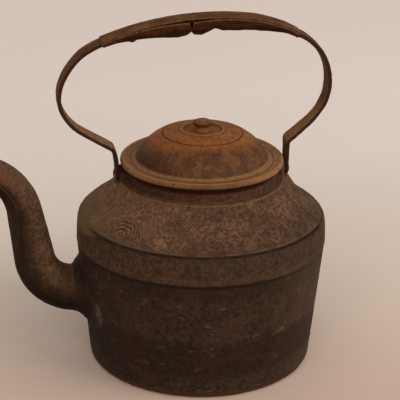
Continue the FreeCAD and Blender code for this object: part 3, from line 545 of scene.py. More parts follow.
over_edge = (height_here + rust_run * 9.0).frayed(speck, 3.0 + 5.0 * rust_run) - (RIDGE_Z - 1.2)
over_edge = over_edge * (1.0 - 0.85 * rust_run)
# painted shadow line along the belt's lower edge, weaker on the right
belt_shadow_line = speck.between(0.2, 0.44) * (1.0 - 0.75 * x_here.between(30.0, 100.0))
# painted shadow in the groove under the ridge's bead and painted highlight on the bead, both faded at the far sides
groove_shadow = (0.45 + 0.55 * flush.between(0.36, 0.56)) * (1.0 - rust_run)
bead_highlight = flush.between(0.36, 0.56) * (1.0 - rust_run)
# painted light: the right toe post made paler
lit_right_post = x_here.between(77.0, 81.0) * height_here.between(172.0, 184.0)
casting_colour = laid_over(
    soot_and_side_light,
    (height_here.between(BELT_LOW - 1.3, BELT_LOW + 2.0), belt_brown),
    (height_here.between(RIDGE_Z - 8.3, RIDGE_Z - 2.7) * (0.45 - 0.45 * rust_run), BELT_SHADE),
    (over_edge.between(-0.7, 0.7), shoulder_brown),
    # painted shadow along the belt's lower edge
    (height_here.band(BELT_LOW - 2.4, BELT_LOW - 0.6, 1.4) * belt_shadow_line, BELT_UNDERSIDE_SHADOW),
    # painted shadow in the groove under the ridge's bead
    (height_here.band(RIDGE_Z - 2.7, RIDGE_Z - 1.5, 0.6) * groove_shadow, RIDGE_GROOVE_SHADOW),
    # painted highlight along the top of the ridge's bead
    (height_here.band(RIDGE_Z - 0.9, RIDGE_Z, 0.4) * bead_highlight, RIDGE_BEAD_HIGHLIGHT),
    (height_here.between(LEDGE_TOP - 1.6, LEDGE_TOP + 0.8), neck_brown),
    # the ledge's top edge rubbed paler, with a painted highlight along it
    (height_here.band(LEDGE_TOP - 1.6, LEDGE_TOP - 0.2, 0.4) * mottle.between(0.3, 0.55), LEDGE_RUBBED_HIGHLIGHT),
    # painted shadow: the neck near black just under the lid's rim
    (height_here.between(NECK_TOP - 11.2, NECK_TOP - 8.4), NECK_UNDER_RIM_SHADOW),
    # painted light on the right toe post
    (lit_right_post * 0.7, speck.between(0.36, 0.66).mix(POST_DARK, POST_PALE)),
)
finish_with(spot, casting_colour, 0.62 + 0.2 * speck, 0.35 * fine + 0.65 * speck, depth=1.0, specular=0.12)
dress(kettle_casting, sooted_iron)
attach(kettle_casting, "kettle")
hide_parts("kettle_body")

# Gooseneck spout: a hollow iron casting that leaves the wall level, rises and turns outwards to a plain lip.
# It is seated on the wall by a flared skirt. The two halves of its mould left a thin seam down each side.
ROOT_START, BEND_AT, LOW_BEND, HIGH_BEND = 95.0, 125.1, 39.6, 56.0
SPOUT_LEAN, LIP_DIP, SPOUT_RUN, LIP_RUN = math.radians(10.0), math.radians(8.0), 52.9, 12.7
ROOT_RADIUS, TIP_RADIUS, SPOUT_WALL = 25.0, 12.5, 3.5
ROOT_AT, ROOT_BORE, SEAT_IN = 118.0, 20.2, 0.7
SKIRT, SKIRT_REACH, SKIRT_HOLLOW = 11.0, 16.0, 2.2
LIP_EDGE = ((0.0, -0.8), (0.5, -1.7), (0.5, -2.2), (0.0, -3.1), (-1.6, -3.5))
LIP_OUTSIDE, LIP_INSIDE = 1.2, 1.6
SEAM_TURNS, SEAM_RADIUS, SEAM_HALF, SEAM_HEIGHT = (201.0, 339.0), 18.0, 1.2, 0.5
LOW_TURN = math.pi / 2 - SPOUT_LEAN
HIGH_TURN = math.pi / 2 - SPOUT_LEAN - LIP_DIP
SPOUT_LENGTH = BEND_AT - ROOT_START + LOW_BEND * LOW_TURN + SPOUT_RUN + HIGH_BEND * HIGH_TURN + LIP_RUN


def bent(run, sideways, upward):
    """Takes points of a straight spout, lying along its run, to the bent one."""
    x, z = -np.minimum(run, BEND_AT), np.full_like(run, SPOUT_Z)
    heading = np.full_like(run, math.pi)
    rest = np.maximum(run - BEND_AT, 0.0)
    for bend_radius, length, turn in (
        (LOW_BEND, LOW_BEND * LOW_TURN, -1.0),
        (None, SPOUT_RUN, 0.0),
        (HIGH_BEND, HIGH_BEND * HIGH_TURN, 1.0),
        (None, 1000.0, 0.0),
    ):
        step = np.clip(rest, 0.0, length)
        if bend_radius:
            following = heading + turn * step / bend_radius
            x = x + bend_radius * turn * (np.sin(following) - np.sin(heading))
            z = z - bend_radius * turn * (np.cos(following) - np.cos(heading))
            heading = following
        else:
            x, z = x + step * np.cos(heading), z + step * np.sin(heading)
        rest = np.maximum(rest - length, 0.0)
    lift = heading - math.pi / 2
    return np.stack([x + upward * np.cos(lift), sideways, z + upward * np.sin(lift)], axis=-1)


def spout_radius(run):
    return ROOT_RADIUS + (TIP_RADIUS - ROOT_RADIUS) * (run - ROOT_START) / SPOUT_LENGTH


def wall_run(sideways, upward):
    """Where the wall of the kettle stands along the straight spout."""
    return np.sqrt(wall_at(SPOUT_Z + upward) ** 2 - sideways**2)


SPOUT_ROUND = 120
around = np.linspace(0.0, 2.0 * math.pi, SPOUT_ROUND, endpoint=False)


def spout_ring(run, radius):
    """A ring of the straight spout: its run, and its places sideways and upward."""
    return np.broadcast_to(run, SPOUT_ROUND), radius * np.cos(around), radius * np.sin(around)


spout_rings = []
for step in np.linspace(-SEAT_IN, SKIRT_REACH, 20):
    beyond = max(step, 0.0)
    ring_radius = spout_radius(ROOT_AT + beyond) + SKIRT * (1.0 - beyond / SKIRT_REACH) ** SKIRT_HOLLOW
    run = wall_run(ring_radius * np.cos(around), ring_radius * np.sin(around)) + step
    spout_rings.append(spout_ring(run, ring_radius))
skirt_end = spout_rings[-1][0]
tip_run = ROOT_START + SPOUT_LENGTH
for level in np.linspace(0.0, 1.0, 130)[1:]:
    run = skirt_end + (tip_run - LIP_OUTSIDE - skirt_end) * level
    spout_rings.append(spout_ring(run, spout_radius(run)))
outer_rings = len(spout_rings)
for ahead, inward in LIP_EDGE:
    spout_rings.append(spout_ring(tip_run + ahead, TIP_RADIUS + inward))
bore_end = wall_run(ROOT_BORE * np.cos(around), ROOT_BORE * np.sin(around)) - SEAT_IN
for level in np.linspace(0.0, 1.0, 50)[1:]:
    run = (tip_run - LIP_INSIDE) + (bore_end - tip_run + LIP_INSIDE) * level
    spout_rings.append(spout_ring(run, spout_radius(run) - SPOUT_WALL))
straight_run, sideways, upward = [np.concatenate(places) for places in zip(*spout_rings)]
spout_points = bent(straight_run, sideways, upward)
spout_faces = ring_faces(len(spout_rings), SPOUT_ROUND, closed=True)[:, ::-1]
spout_normals = outward(spout_points, spout_faces)
shown = slice(SPOUT_ROUND * 2, SPOUT_ROUND * outer_rings)
skin = spout_points[shown]
swell = uneven(skin, (0.3, 26.0, 11), (0.16, 8.0, 12), (0.12, 3.4, 13))
pits = pitted(skin, 2.6, 14, rare=0.45, depth=0.4)
turn_here = np.tile(around, outer_rings)[SPOUT_ROUND * 2 :]
seam_off = np.min([np.abs(turn_here - math.radians(turn)) for turn in SEAM_TURNS], axis=0)
seam = stroke(seam_off * SEAM_RADIUS, SEAM_HALF) * smooth_step(128.0, 140.0, straight_run[shown])
spout_points[shown] = skin + spout_normals[shown] * (swell - pits + SEAM_HEIGHT * seam)[:, None]
gooseneck = piece_from("gooseneck", spout_points, spout_faces)

SPOUT_SOOT, SPOUT_ASH, SPOUT_SOOT_GRAIN = rgb(32, 20, 11), rgb(54, 36, 22), rgb(32, 21, 14)
SPOUT_RUST, SPOUT_TAN, SPOUT_RED, SPOUT_GRAIN = rgb(66, 46, 31), rgb(96, 69, 48), rgb(94, 63, 40), rgb(50, 31, 19)
SADDLE_RUST, SADDLE_PALE, ROOT_RUST, ROOT_TAN = rgb(92, 64, 44), rgb(124, 91, 65), rgb(66, 44, 28), rgb(87, 58, 36)
BELOW_SHADE_BLACK, BELOW_SHADE_BROWN = rgb(22, 10, 2), rgb(35, 18, 7)
gooseneck_iron = bpy.data.materials.new("gooseneck_iron")
spot = place_of(gooseneck_iron)
blotch = spot.grain(26.0, 5.0, 0.62, 2.3)
speck = spot.grain(2.4, 4.0, 0.62, 5.2)
fine = spot.grain(1.0, 3.0, 0.6, 9.4)
streak = spot.stretched(1.0, 1.0, 0.22).grain(5.0, 4.0, 0.6, 4.1)
facing_lid, facing_up = spot.facing(0), spot.facing(2)
# rust on the sides that face the lid and upward, laid there partly as painted light on the lit side
rust_and_lit_side = (0.75 * facing_lid + 0.7 * facing_up).frayed(blotch, 1.1)
# painted light: a paler saddle on the upper side that faces the lid
lit_saddle = (0.7 * facing_lid + 0.7 * facing_up).between(0.2, 0.6) * (1.0 - spot.part(2).between(116.0, 136.0))
near_wall = spot.part(0).frayed(blotch, 24.0).between(-150.0, -132.0)
# painted shade: the spout's downward-facing underside near black
below = (0.0 - facing_up).between(-0.1, 0.5)
spout_soot = laid_over(
    streak.between(0.36, 0.66).mix(SPOUT_SOOT, SPOUT_ASH),
    (fine.between(0.54, 0.76), SPOUT_SOOT_GRAIN),
)
spout_rust_and_light = laid_over(
    speck.between(0.36, 0.64).mix(SPOUT_RUST, SPOUT_TAN),
    (blotch.between(0.48, 0.66), SPOUT_RED),
    (lit_saddle * 0.8, speck.between(0.36, 0.64).mix(SADDLE_RUST, SADDLE_PALE)),
    (near_wall, speck.between(0.4, 0.7).mix(ROOT_RUST, ROOT_TAN)),
    (fine.between(0.54, 0.72), SPOUT_GRAIN),
)
spout_colour = laid_over(
    spout_soot,
    # rust, with painted light, on the lit side
    (rust_and_lit_side.between(-0.25, 0.35), spout_rust_and_light),
    # painted shade on the spout's underside
    (below, speck.between(0.4, 0.7).mix(BELOW_SHADE_BLACK, BELOW_SHADE_BROWN)),
)
finish_with(spot, spout_colour, 0.6 + 0.2 * speck, 0.55 * fine + 0.45 * speck, depth=0.9, specular=0.12)
dress(gooseneck, gooseneck_iron)
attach(gooseneck, "kettle")
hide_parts("spout")

# Bail rivets: two iron rivets that pass through the strap's feet, the bosses and the neck.
# They are set hot and hammered down flat, and rust has blended them with the strap.
FACE_BROWN, FACE_TAN, FACE_SPECK = rgb(80, 49, 22), rgb(106, 69, 36), rgb(60, 35, 15)
EDGE_SHADE_BROWN, EDGE_SHADE_DARK, EDGE_RUBBED_HIGHLIGHT = rgb(60, 37, 20), rgb(42, 25, 13), rgb(132, 93, 57)
SLOPE_LIT_TAN, SLOPE_LIT_PALE, FOOT_BROWN, FOOT_DARK = rgb(104, 73, 44), rgb(142, 103, 68), rgb(56, 34, 18), rgb(38, 22, 11)
FORGED_GRAIN, UNDER_GRIP_SHADE = rgb(40, 24, 13), rgb(34, 15, 7)
forged_iron = bpy.data.materials.new("forged_iron")
spot = place_of(forged_iron)
blotch = spot.grain(16.0, 5.0, 0.6, 1.4)
speck = spot.grain(2.0, 4.0, 0.62, 6.3)
fine = spot.grain(0.9, 3.0, 0.6, 8.8)
height_here = spot.part(2)
edge_on = spot.facing(1) * spot.facing(1)
# painted light: upward-facing slopes of the strap's lower legs paler
lit_slope = spot.facing(2).between(0.25, 0.6) * (1.0 - height_here.frayed(blotch, 24.0).between(248.0, 268.0))
# painted shade: the strap inside the grip near black
shaded_in_grip = spot.part(0).band(-92.0, 84.0, 4.0) * height_here.between(300.0, 312.0)
upper_colour = laid_over(
    blotch.between(0.36, 0.64).mix(FACE_BROWN, FACE_TAN),
    (speck.between(0.46, 0.68), FACE_SPECK),
    # painted shade: the strap's narrow front and back edges darker
    (edge_on.between(0.35, 0.75), speck.between(0.4, 0.7).mix(EDGE_SHADE_BROWN, EDGE_SHADE_DARK)),
    # painted light on upward-facing slopes
    (lit_slope * 0.75, speck.between(0.36, 0.66).mix(SLOPE_LIT_TAN, SLOPE_LIT_PALE)),
)
forged_colour = laid_over(
    speck.between(0.4, 0.7).mix(FOOT_BROWN, FOOT_DARK),
    (height_here.frayed(blotch, 20.0).between(202.0, 224.0), upper_colour),
    # the strap's rounded corners rubbed paler, with a painted highlight along them
    (edge_on.band(0.16, 0.5, 0.14) * speck.between(0.34, 0.56), EDGE_RUBBED_HIGHLIGHT),
    (fine.between(0.56, 0.76), FORGED_GRAIN),
    # painted shade inside the grip
    (shaded_in_grip, UNDER_GRIP_SHADE),
)
finish_with(spot, forged_colour, 0.62 + 0.2 * speck, 0.5 * fine + 0.5 * speck, depth=0.6, specular=0.08)
dress(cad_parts["bail_rivets"], forged_iron)

# Lid: one disc of sheet iron pressed into a dome with a groove and a shallow dish on top, a bead and a flat flange.
# Its edge is rolled round a wire and stands a little proud of the flange.
# It is covered in even orange-brown rust, darker and purplish on the steep side and rubbed bright on bead and roll,
# with a painted highlight along them.
LID_SHEET, LID_RADIUS, LID_CURL, CURL_RISE = 1.0, 79.5, 3.0, 1.7
FLANGE_TOP = NECK_TOP + LID_SHEET
CROWN_RADIUS, CROWN_RISE, DISH_RADIUS, DISH_DEPTH = 21.6, 29.6, 15.5, 2.0
STEP_RADIUS, STEP_RISE, LID_STEP = 38.6, 26.4, 0.8
DOME_CURVE, BEAD_RADIUS, BEAD = 50.0, 66.6, 0.9
crown_z, step_z = FLANGE_TOP + CROWN_RISE, FLANGE_TOP + STEP_RISE
curl_centre = (LID_RADIUS - LID_CURL, FLANGE_TOP + CURL_RISE - LID_CURL)
lid_face = [
    (2.5, crown_z - DISH_DEPTH),
    (DISH_RADIUS, crown_z - DISH_DEPTH),
    (CROWN_RADIUS - 2.6, crown_z - 0.3),
    (CROWN_RADIUS - 1.6, crown_z + 0.5),
    (CROWN_RADIUS - 0.4, crown_z + 0.5),
    (CROWN_RADIUS + 0.8, crown_z - 0.3),
    (STEP_RADIUS - 0.9, step_z + 0.1),
    (STEP_RADIUS - 0.1, step_z - LID_STEP - 0.7),
    (STEP_RADIUS + 0.6, step_z - LID_STEP - 0.7),
    *bulged((STEP_RADIUS + 1.5, step_z - LID_STEP), (BEAD_RADIUS - 1.7 * BEAD, FLANGE_TOP + 0.3), DOME_CURVE, 30),
    (BEAD_RADIUS - 0.5 * BEAD, FLANGE_TOP + BEAD),
    (BEAD_RADIUS + 0.5 * BEAD, FLANGE_TOP + BEAD),
    (BEAD_RADIUS + 1.6 * BEAD, FLANGE_TOP),
    *arc(curl_centre, LID_CURL, 154.0, -152.0, 26),
]
lid_top_line = eased(along(lid_face, 0.6), 1)
tangent = np.gradient(lid_top_line, axis=0)
tangent /= np.linalg.norm(tangent, axis=1, keepdims=True)
lid_under_line = (lid_top_line + np.stack([tangent[:, 1], -tangent[:, 0]], axis=1) * LID_SHEET)[::-1]
LID_ROUND = 420
lid_line = np.concatenate([lid_top_line, lid_under_line])
lid_points, _ = turned(lid_line, LID_ROUND)
lid_faces = ring_faces(len(lid_line), LID_ROUND, closed=True)[:, ::-1]
flat_place = lid_points * [1.0, 1.0, 0.0]
lid_away = smooth_step(8.0, 22.0, np.hypot(lid_points[:, 0], lid_points[:, 1]))
lid_points[:, 2] += lid_away * uneven(flat_place, (0.32, 42.0, 21), (0.08, 12.0, 22))
pressed_lid = piece_from("pressed_lid", lid_points, lid_faces)

TOP_ORANGE, TOP_PALE, TOP_SPECK = rgb(118, 68, 27), rgb(136, 82, 35), rgb(98, 55, 21)
SIDE_BROWN, SIDE_TAN, SIDE_SPECK, SIDE_LOW_SHADE = rgb(76, 46, 26), rgb(103, 66, 38), rgb(66, 39, 22), rgb(56, 29, 11)
RIM_BROWN, RIM_TAN, RIM_SPECK = rgb(98, 65, 37), rgb(116, 79, 47), rgb(78, 48, 25)
RIM_LEFT, RIM_RIGHT_LIGHT, FLANGE_SHADE = rgb(142, 98, 62), rgb(148, 100, 64), rgb(80, 47, 18)
STEP_GROOVE_SHADE, DISH_EDGE_SHADE, KNOB_CAP_SHADOW, KNOB_TOP = rgb(70, 38, 15), rgb(86, 47, 17), rgb(66, 32, 9), rgb(78, 52, 32)
LID_RUBBED_HIGHLIGHT, LID_UNDER_SHADE, LID_GRAIN = rgb(132, 95, 57), rgb(42, 16, 7), rgb(66, 38, 18)
lid_rust = bpy.data.materials.new("lid_rust")
spot = place_of(lid_rust)
x_here, y_here, height_here = [spot.part(axis) for axis in range(3)]
out_here = spot.maths("SQRT", x_here * x_here + y_here * y_here)
blotch = spot.grain(24.0, 5.0, 0.6, 4.4)
speck = spot.grain(2.2, 4.0, 0.62, 2.9)
fine = spot.grain(0.9, 3.0, 0.6, 6.1)
streak = spot.stretched(1.0, 1.0, 0.14).grain(5.5, 4.0, 0.6, 7.2)
top_colour = laid_over(
    blotch.between(0.36, 0.64).mix(TOP_ORANGE, TOP_PALE),
    (speck.between(0.46, 0.68), TOP_SPECK),
)
# painted shade: the dome's lower left side darker
shaded_low_left = (1.0 - x_here.frayed(blotch, 40.0).between(-60.0, -5.0)) * (1.0 - height_here.between(213.0, 226.0))
side_colour = laid_over(
    streak.between(0.36, 0.66).mix(SIDE_BROWN, SIDE_TAN),
    (speck.between(0.5, 0.7), SIDE_SPECK),
    (shaded_low_left * 0.6, SIDE_LOW_SHADE),
)
rim_colour = laid_over(
    blotch.between(0.36, 0.64).mix(RIM_BROWN, RIM_TAN),
    # painted light: the rim paler on its right side
    (x_here.between(15.0, 70.0) * 0.8, RIM_RIGHT_LIGHT),
    (0.5 - 0.5 * x_here.between(-70.0, -12.0), RIM_LEFT),
    (speck.between(0.5, 0.72), RIM_SPECK),
)
down_side = (out_here - spot.maths("ABSOLUTE", x_here) * 0.17).frayed(blotch, 6.0)
# painted shade on the dish's wall and round the outer edge of the crown ring
dish_edge_shadows = out_here.band(CROWN_RADIUS - 4.2, CROWN_RADIUS - 3.2, 0.7)
dish_edge_shadows = dish_edge_shadows + out_here.band(CROWN_RADIUS + 1.2, CROWN_RADIUS + 1.8, 0.6)
on_bead = height_here.between(FLANGE_TOP + 0.2, FLANGE_TOP + 0.7) * out_here.band(64.6, 68.4, 0.6)
on_roll = height_here.between(FLANGE_TOP + 0.9, FLANGE_TOP + 1.4) * out_here.between(70.0, 71.5)
on_crown = height_here.between(crown_z - 0.2, crown_z + 0.2)
on_crown = out_here.band(CROWN_RADIUS - 2.0, CROWN_RADIUS - 0.2, 0.5) * on_crown
# painted shadow under the knob's cap
under_cap_shadow = height_here.band(crown_z + 4.0, crown_z + 7.0, 0.7) * (1.0 - out_here.between(10.0, 11.0))
lid_colour = laid_over(
    top_colour,
    (down_side.between(38.5, 48.0), side_colour),
    (out_here.between(63.6, 65.2), rim_colour),
    # painted shade on the flange, in the low ring between bead and roll
    (out_here.band(68.8, 70.6, 0.7) * 0.5, FLANGE_SHADE),
    # painted shade in the step's groove
    (out_here.band(STEP_RADIUS - 0.2, STEP_RADIUS + 0.6, 0.5), STEP_GROOVE_SHADE),
    (dish_edge_shadows, DISH_EDGE_SHADE),
    # bead, roll and crown ring rubbed bright, with a painted highlight on them
    ((on_bead + on_roll + on_crown) * speck.between(0.3, 0.6), LID_RUBBED_HIGHLIGHT),
    # painted shadow under the knob's cap
    (under_cap_shadow * 0.85, KNOB_CAP_SHADOW),
    (height_here.between(crown_z + 7.0, crown_z + 7.8) * 0.45, KNOB_TOP),
    # painted shade: the underside of the roll and the collar darkened
    (1.0 - height_here.between(FLANGE_TOP - 4.7, FLANGE_TOP - 3.0), LID_UNDER_SHADE),
    (fine.between(0.58, 0.76), LID_GRAIN),
)
finish_with(spot, lid_colour, 0.54 + 0.22 * speck, 0.5 * fine + 0.5 * speck, depth=0.4, specular=0.14)
dress(pressed_lid, lid_rust)
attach(pressed_lid, "lid")
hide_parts("lid_pan")

# Rim wire and collar: a wire inside the rolled edge, and a sheet ring under the lid that drops into the neck.
# Both are plain rusty iron and hardly seen.
for name in ("lid_rim_wire", "lid_collar"):
    dress(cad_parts[name], lid_rust)

# Lid knob: a small stubby turned button, riveted through the dish.
# It has rusted to the lid's own colour and its edges are worn round; the rivet's head shows dark in its top.
KNOB_FOOT_Z = crown_z - DISH_DEPTH
KNOB_OUT = (2.52, 8.8, 8.5, 7.6, 7.2, 7.4, 8.8, 9.4, 9.2, 8.0, 5.2, 2.52)
KNOB_UP = (0.0, 0.0, 1.0, 2.4, 3.8, 5.2, 6.4, 7.4, 9.0, 10.2, 10.9, 10.9)
knob_line = eased(along(list(zip(KNOB_OUT, KNOB_UP)), 0.5), 3) + [0.0, KNOB_FOOT_Z]
KNOB_ROUND = 96
knob_points, _ = turned(knob_line, KNOB_ROUND)
knob_faces = ring_faces(len(knob_line), KNOB_ROUND, closed=True)
knob_points += outward(knob_points, knob_faces) * (0.16 * lumps(knob_points, 5.0, 31))[:, None]
lid_button = piece_from("lid_button", knob_points, knob_faces)
dress(lid_button, lid_rust)
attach(lid_button, "lid")
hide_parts("lid_knob")
dress(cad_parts["knob_rivet"], forged_iron)
dress(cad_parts["knob_washer"], lid_rust)

# Bail strap: a flat bar of wrought iron, forged narrow towards its feet and bent over the lid.
# Its corners are worn round and its faces keep the marks of the hammer.
ELBOW_RISE, ELBOW_WIDER = 2.2, 0.3
BOW_PUSH, BOW_X, BOW_Z, BOW_SIZE = 2.8, -132.0, 303.0, 24.0
BAIL_TILT = (
    [-125, -102, 50, 58, 67, 79, 84, 90, 97, 104, 118],
    [0.4, 1.9, 1.9, 1.2, 0.2, -1.3, -2.3, -3.0, -2.3, -1.8, 0.0],
)


def bent_by_use(points):
    """The bail's points as long use has left them: elbows raised, left bow pushed in, grip tilted."""
    x, z = points[:, 0], points[:, 2]
    raised = ELBOW_RISE * smooth_step(201.0, 212.0, z) * (1.0 - smooth_step(240.0, 270.0, z))
    tilted = np.interp(x, *BAIL_TILT) * smooth_step(285.0, 305.0, z)
    pushed = BOW_PUSH * np.exp(-(((x - BOW_X) / BOW_SIZE) ** 2) - ((z - BOW_Z) / BOW_SIZE) ** 2)
    return points + np.stack([pushed, np.zeros_like(x), raised + tilted], axis=1)


forged_strap = bpy.data.objects.new("forged_strap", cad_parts["bail_strap"].data.copy())
bpy.context.scene.collection.objects.link(forged_strap)
even = forged_strap.modifiers.new("even", "REMESH")
even.mode, even.voxel_size = "VOXEL", 0.75 * MM
soft = forged_strap.modifiers.new("soft", "SMOOTH")
soft.factor, soft.iterations = 0.5, 4
settle(forged_strap)
strap_points, strap_normals = points_of(forged_strap), points_of(forged_strap, "normal")
marks = uneven(strap_points, (0.14, 14.0, 41), (0.1, 4.5, 42), (0.05, 2.0, 43))
clear = smooth_step(196.0, 204.0, strap_points[:, 2])
strap_points = strap_points + strap_normals * (marks * clear)[:, None]
strap_height = strap_points[:, 2]
wider = ELBOW_WIDER * smooth_step(209.0, 219.0, strap_height) * (1.0 - smooth_step(220.0, 244.0, strap_height))
strap_points[:, 1] *= 1.0 + wider
strap_points = bent_by_use(strap_points)
forged_strap.data.vertices.foreach_set("co", (strap_points * MM).ravel())
forged_strap.data.update()
dress(forged_strap, forged_iron)
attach(forged_strap, "bail")
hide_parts("bail_strap")

# Grip: thin sheet iron wrapped over the strap and rolled beneath it into a handhold, its edges meeting in front.
# That seam has rusted open in the middle, where the roll is torn across and sags in two lobes.
TOP_CENTRE, TOP_CURVE = (12.0, 52.7), 290.0
LOOP_CENTRE, LOOP_CURVE = (63.9, 278.82), 58.0
GRIP_LEFT, GRIP_RIGHT = -97.0, 90.0
STRAP_HALF, STRAP_THICK = 10.0, 4.2
GRIP_PLAY, GRIP_SHEET, GRIP_COVER = 0.25, 0.8, 1.0
GRIP_SAG = (
    [-97, -84, -74, -70, -66, -51, -37, -27, -18, -14.5, -13, -11, -3, 4, 10, 18, 38, 55, 72, 90],
    [0.3, 2.2, 4.4, 7.2, 5.4, 8.5, 11.0, 12.8, 12.0, 10.0, 8.6, 12.0, 13.0, 10.2, 6.6, 9.4, 8.3, 7.4, 3.6, 0.3],
)
GRIP_GAP = (
    [-97, -60, -51, -35, -20, -14, -6, 2, 10, 20, 90],
    [0.3, 0.4, 0.7, 1.1, 1.9, 2.4, 2.1, 1.3, 0.7, 0.4, 0.3],
)
TEAR_AT, TEAR_HALF, TEAR_DEEP = -13.3, 1.7, 9.5
GRIP_ROUND, GRIP_RINGS, LIP_WIDTH = 112, 330, 1.6
touch_angle = math.atan2(LOOP_CENTRE[1] - TOP_CENTRE[1], LOOP_CENTRE[0] - TOP_CENTRE[0])
left_angle = math.acos((GRIP_LEFT - TOP_CENTRE[0]) / TOP_CURVE)
right_angle = math.acos((GRIP_RIGHT - LOOP_CENTRE[0]) / LOOP_CURVE)
top_length, loop_length = TOP_CURVE * (left_angle - touch_angle), LOOP_CURVE * (touch_angle - right_angle)


def on_grip(run, rise):
    """A point of the grip's own plane at a run along the strap's middle line and a rise above it."""
    on_top = run < top_length
    angle = np.where(on_top, left_angle - run / TOP_CURVE, touch_angle - (run - top_length) / LOOP_CURVE)
    centre_x = np.where(on_top, TOP_CENTRE[0], LOOP_CENTRE[0])
    centre_z = np.where(on_top, TOP_CENTRE[1], LOOP_CENTRE[1])
    curve = np.where(on_top, TOP_CURVE, LOOP_CURVE) + rise
    return centre_x + curve * np.cos(angle), centre_z + curve * np.sin(angle)


half_in, top_in = STRAP_HALF + GRIP_PLAY, STRAP_THICK / 2 + GRIP_PLAY
low = -top_in
grip_runs = np.linspace(0.0, top_length + loop_length, GRIP_RINGS)
grip_x = on_grip(grip_runs, np.zeros(GRIP_RINGS))[0]
sags = eased(np.interp(grip_x, *GRIP_SAG), 3)
torn = TEAR_DEEP * np.clip(1.0 - np.abs(grip_x - TEAR_AT) / TEAR_HALF, 0.0, 1.0)
gaps = eased(np.interp(grip_x, *GRIP_GAP), 6) + torn
flares = 0.2 + 0.9 * np.exp(-(((grip_x + 8.0) / 18.0) ** 2))
under = np.linspace(0.0, math.pi, 26)
grip_section, grip_lips = [], []
for run, sag, gap, flare in zip(grip_runs, sags, gaps, flares):
    corners = [
        (-half_in, top_in - GRIP_COVER),
        (-half_in, top_in),
        (half_in, top_in),
        *[(half_in * math.cos(a), low - sag * math.sin(a)) for a in under],
        (-half_in - flare, top_in - GRIP_COVER),
    ]
    line = eased(along(corners, 0.5), 3)
    length = np.concatenate([[0.0], np.cumsum(np.linalg.norm(np.diff(line, axis=0), axis=1))])
    places = np.linspace(0.0, length[-1] - gap, GRIP_ROUND // 2)
    inner = np.stack([np.interp(places, length, line[:, i]) for i in range(2)], axis=1)
    tangent = np.gradient(inner, axis=0)
    tangent /= np.linalg.norm(tangent, axis=1, keepdims=True)
    shell = inner + np.stack([-tangent[:, 1], tangent[:, 0]], axis=1) * GRIP_SHEET
    ring = np.concatenate([inner, shell[::-1]])
    x, z = on_grip(np.full(GRIP_ROUND, run), ring[:, 1])
    grip_section.append(np.stack([x, ring[:, 0], z], axis=1))
    to_lip = np.minimum(places, places[-1] - places)
    grip_lips.append(1.0 - np.clip(np.concatenate([to_lip, to_lip[::-1]]) / LIP_WIDTH, 0.0, 1.0))
grip_points = np.concatenate(grip_section)
grip_faces = ring_faces(GRIP_RINGS, GRIP_ROUND)
drawn_out = grip_points * [0.3, 1.0, 1.0]
crumple = 0.45 * lumps(drawn_out, 5.0, 51) + 0.5 * lumps(grip_points, 11.0, 52)
below_strap = smooth_step(0.0, 4.0, np.repeat(sags, GRIP_ROUND)) * (np.abs(grip_points[:, 1]) < half_in + 2.0)
rise_here = np.hypot(grip_points[:, 0] - TOP_CENTRE[0], grip_points[:, 2] - TOP_CENTRE[1]) - TOP_CURVE
grip_points[:, 2] -= np.abs(crumple) * below_strap * smooth_step(low - 0.5, low - 3.0, rise_here)
grip_points = bent_by_use(grip_points)
rolled_grip = piece_from("rolled_grip", grip_points, grip_faces, end_caps(GRIP_RINGS, GRIP_ROUND))
keep_tone(rolled_grip, "lip", np.concatenate(grip_lips))

GRIP_BROWN, GRIP_TAN, GRIP_STREAK, GRIP_GRAIN = rgb(78, 46, 18), rgb(104, 66, 30), rgb(58, 32, 12), rgb(40, 25, 17)
ROLL_SHADE_DARK, ROLL_SHADE_BROWN, ROLL_SPECK, LIP_RUBBED_HIGHLIGHT = rgb(39, 17, 4), rgb(69, 37, 15), rgb(32, 14, 5), rgb(112, 80, 56)
grip_iron = bpy.data.materials.new("grip_iron")
spot = place_of(grip_iron)
blotch = spot.grain(14.0, 5.0, 0.6, 3.7)
speck = spot.grain(2.0, 4.0, 0.62, 1.3)
fine = spot.grain(0.9, 3.0, 0.6, 5.8)
streak = spot.stretched(0.2, 1.0, 1.0).grain(3.4, 4.0, 0.6, 2.6)
upper_colour = laid_over(
    blotch.between(0.36, 0.64).mix(GRIP_BROWN, GRIP_TAN),
    (streak.between(0.48, 0.66), GRIP_STREAK),
)
# painted shade: the grip's roll darker wherever it does not face upward
shaded_roll_colour = laid_over(
    streak.between(0.36, 0.66).mix(ROLL_SHADE_DARK, ROLL_SHADE_BROWN),
    (speck.between(0.52, 0.74), ROLL_SPECK),
)
grip_colour = laid_over(
    shaded_roll_colour,
    # upward-facing faces get the lighter colour, the rest keep the roll's painted shade
    (spot.facing(2).between(0.35, 0.75), upper_colour),
    # the sheet's edges rubbed paler, with a painted highlight along them
    (spot.kept("lip") * speck.between(0.3, 0.55), LIP_RUBBED_HIGHLIGHT),
    (fine.between(0.58, 0.78), GRIP_GRAIN),
)
finish_with(spot, grip_colour, 0.62 + 0.2 * speck, 0.5 * fine + 0.5 * streak, depth=0.6, specular=0.08)
dress(rolled_grip, grip_iron)
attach(rolled_grip, "bail")
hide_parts("bail_grip")

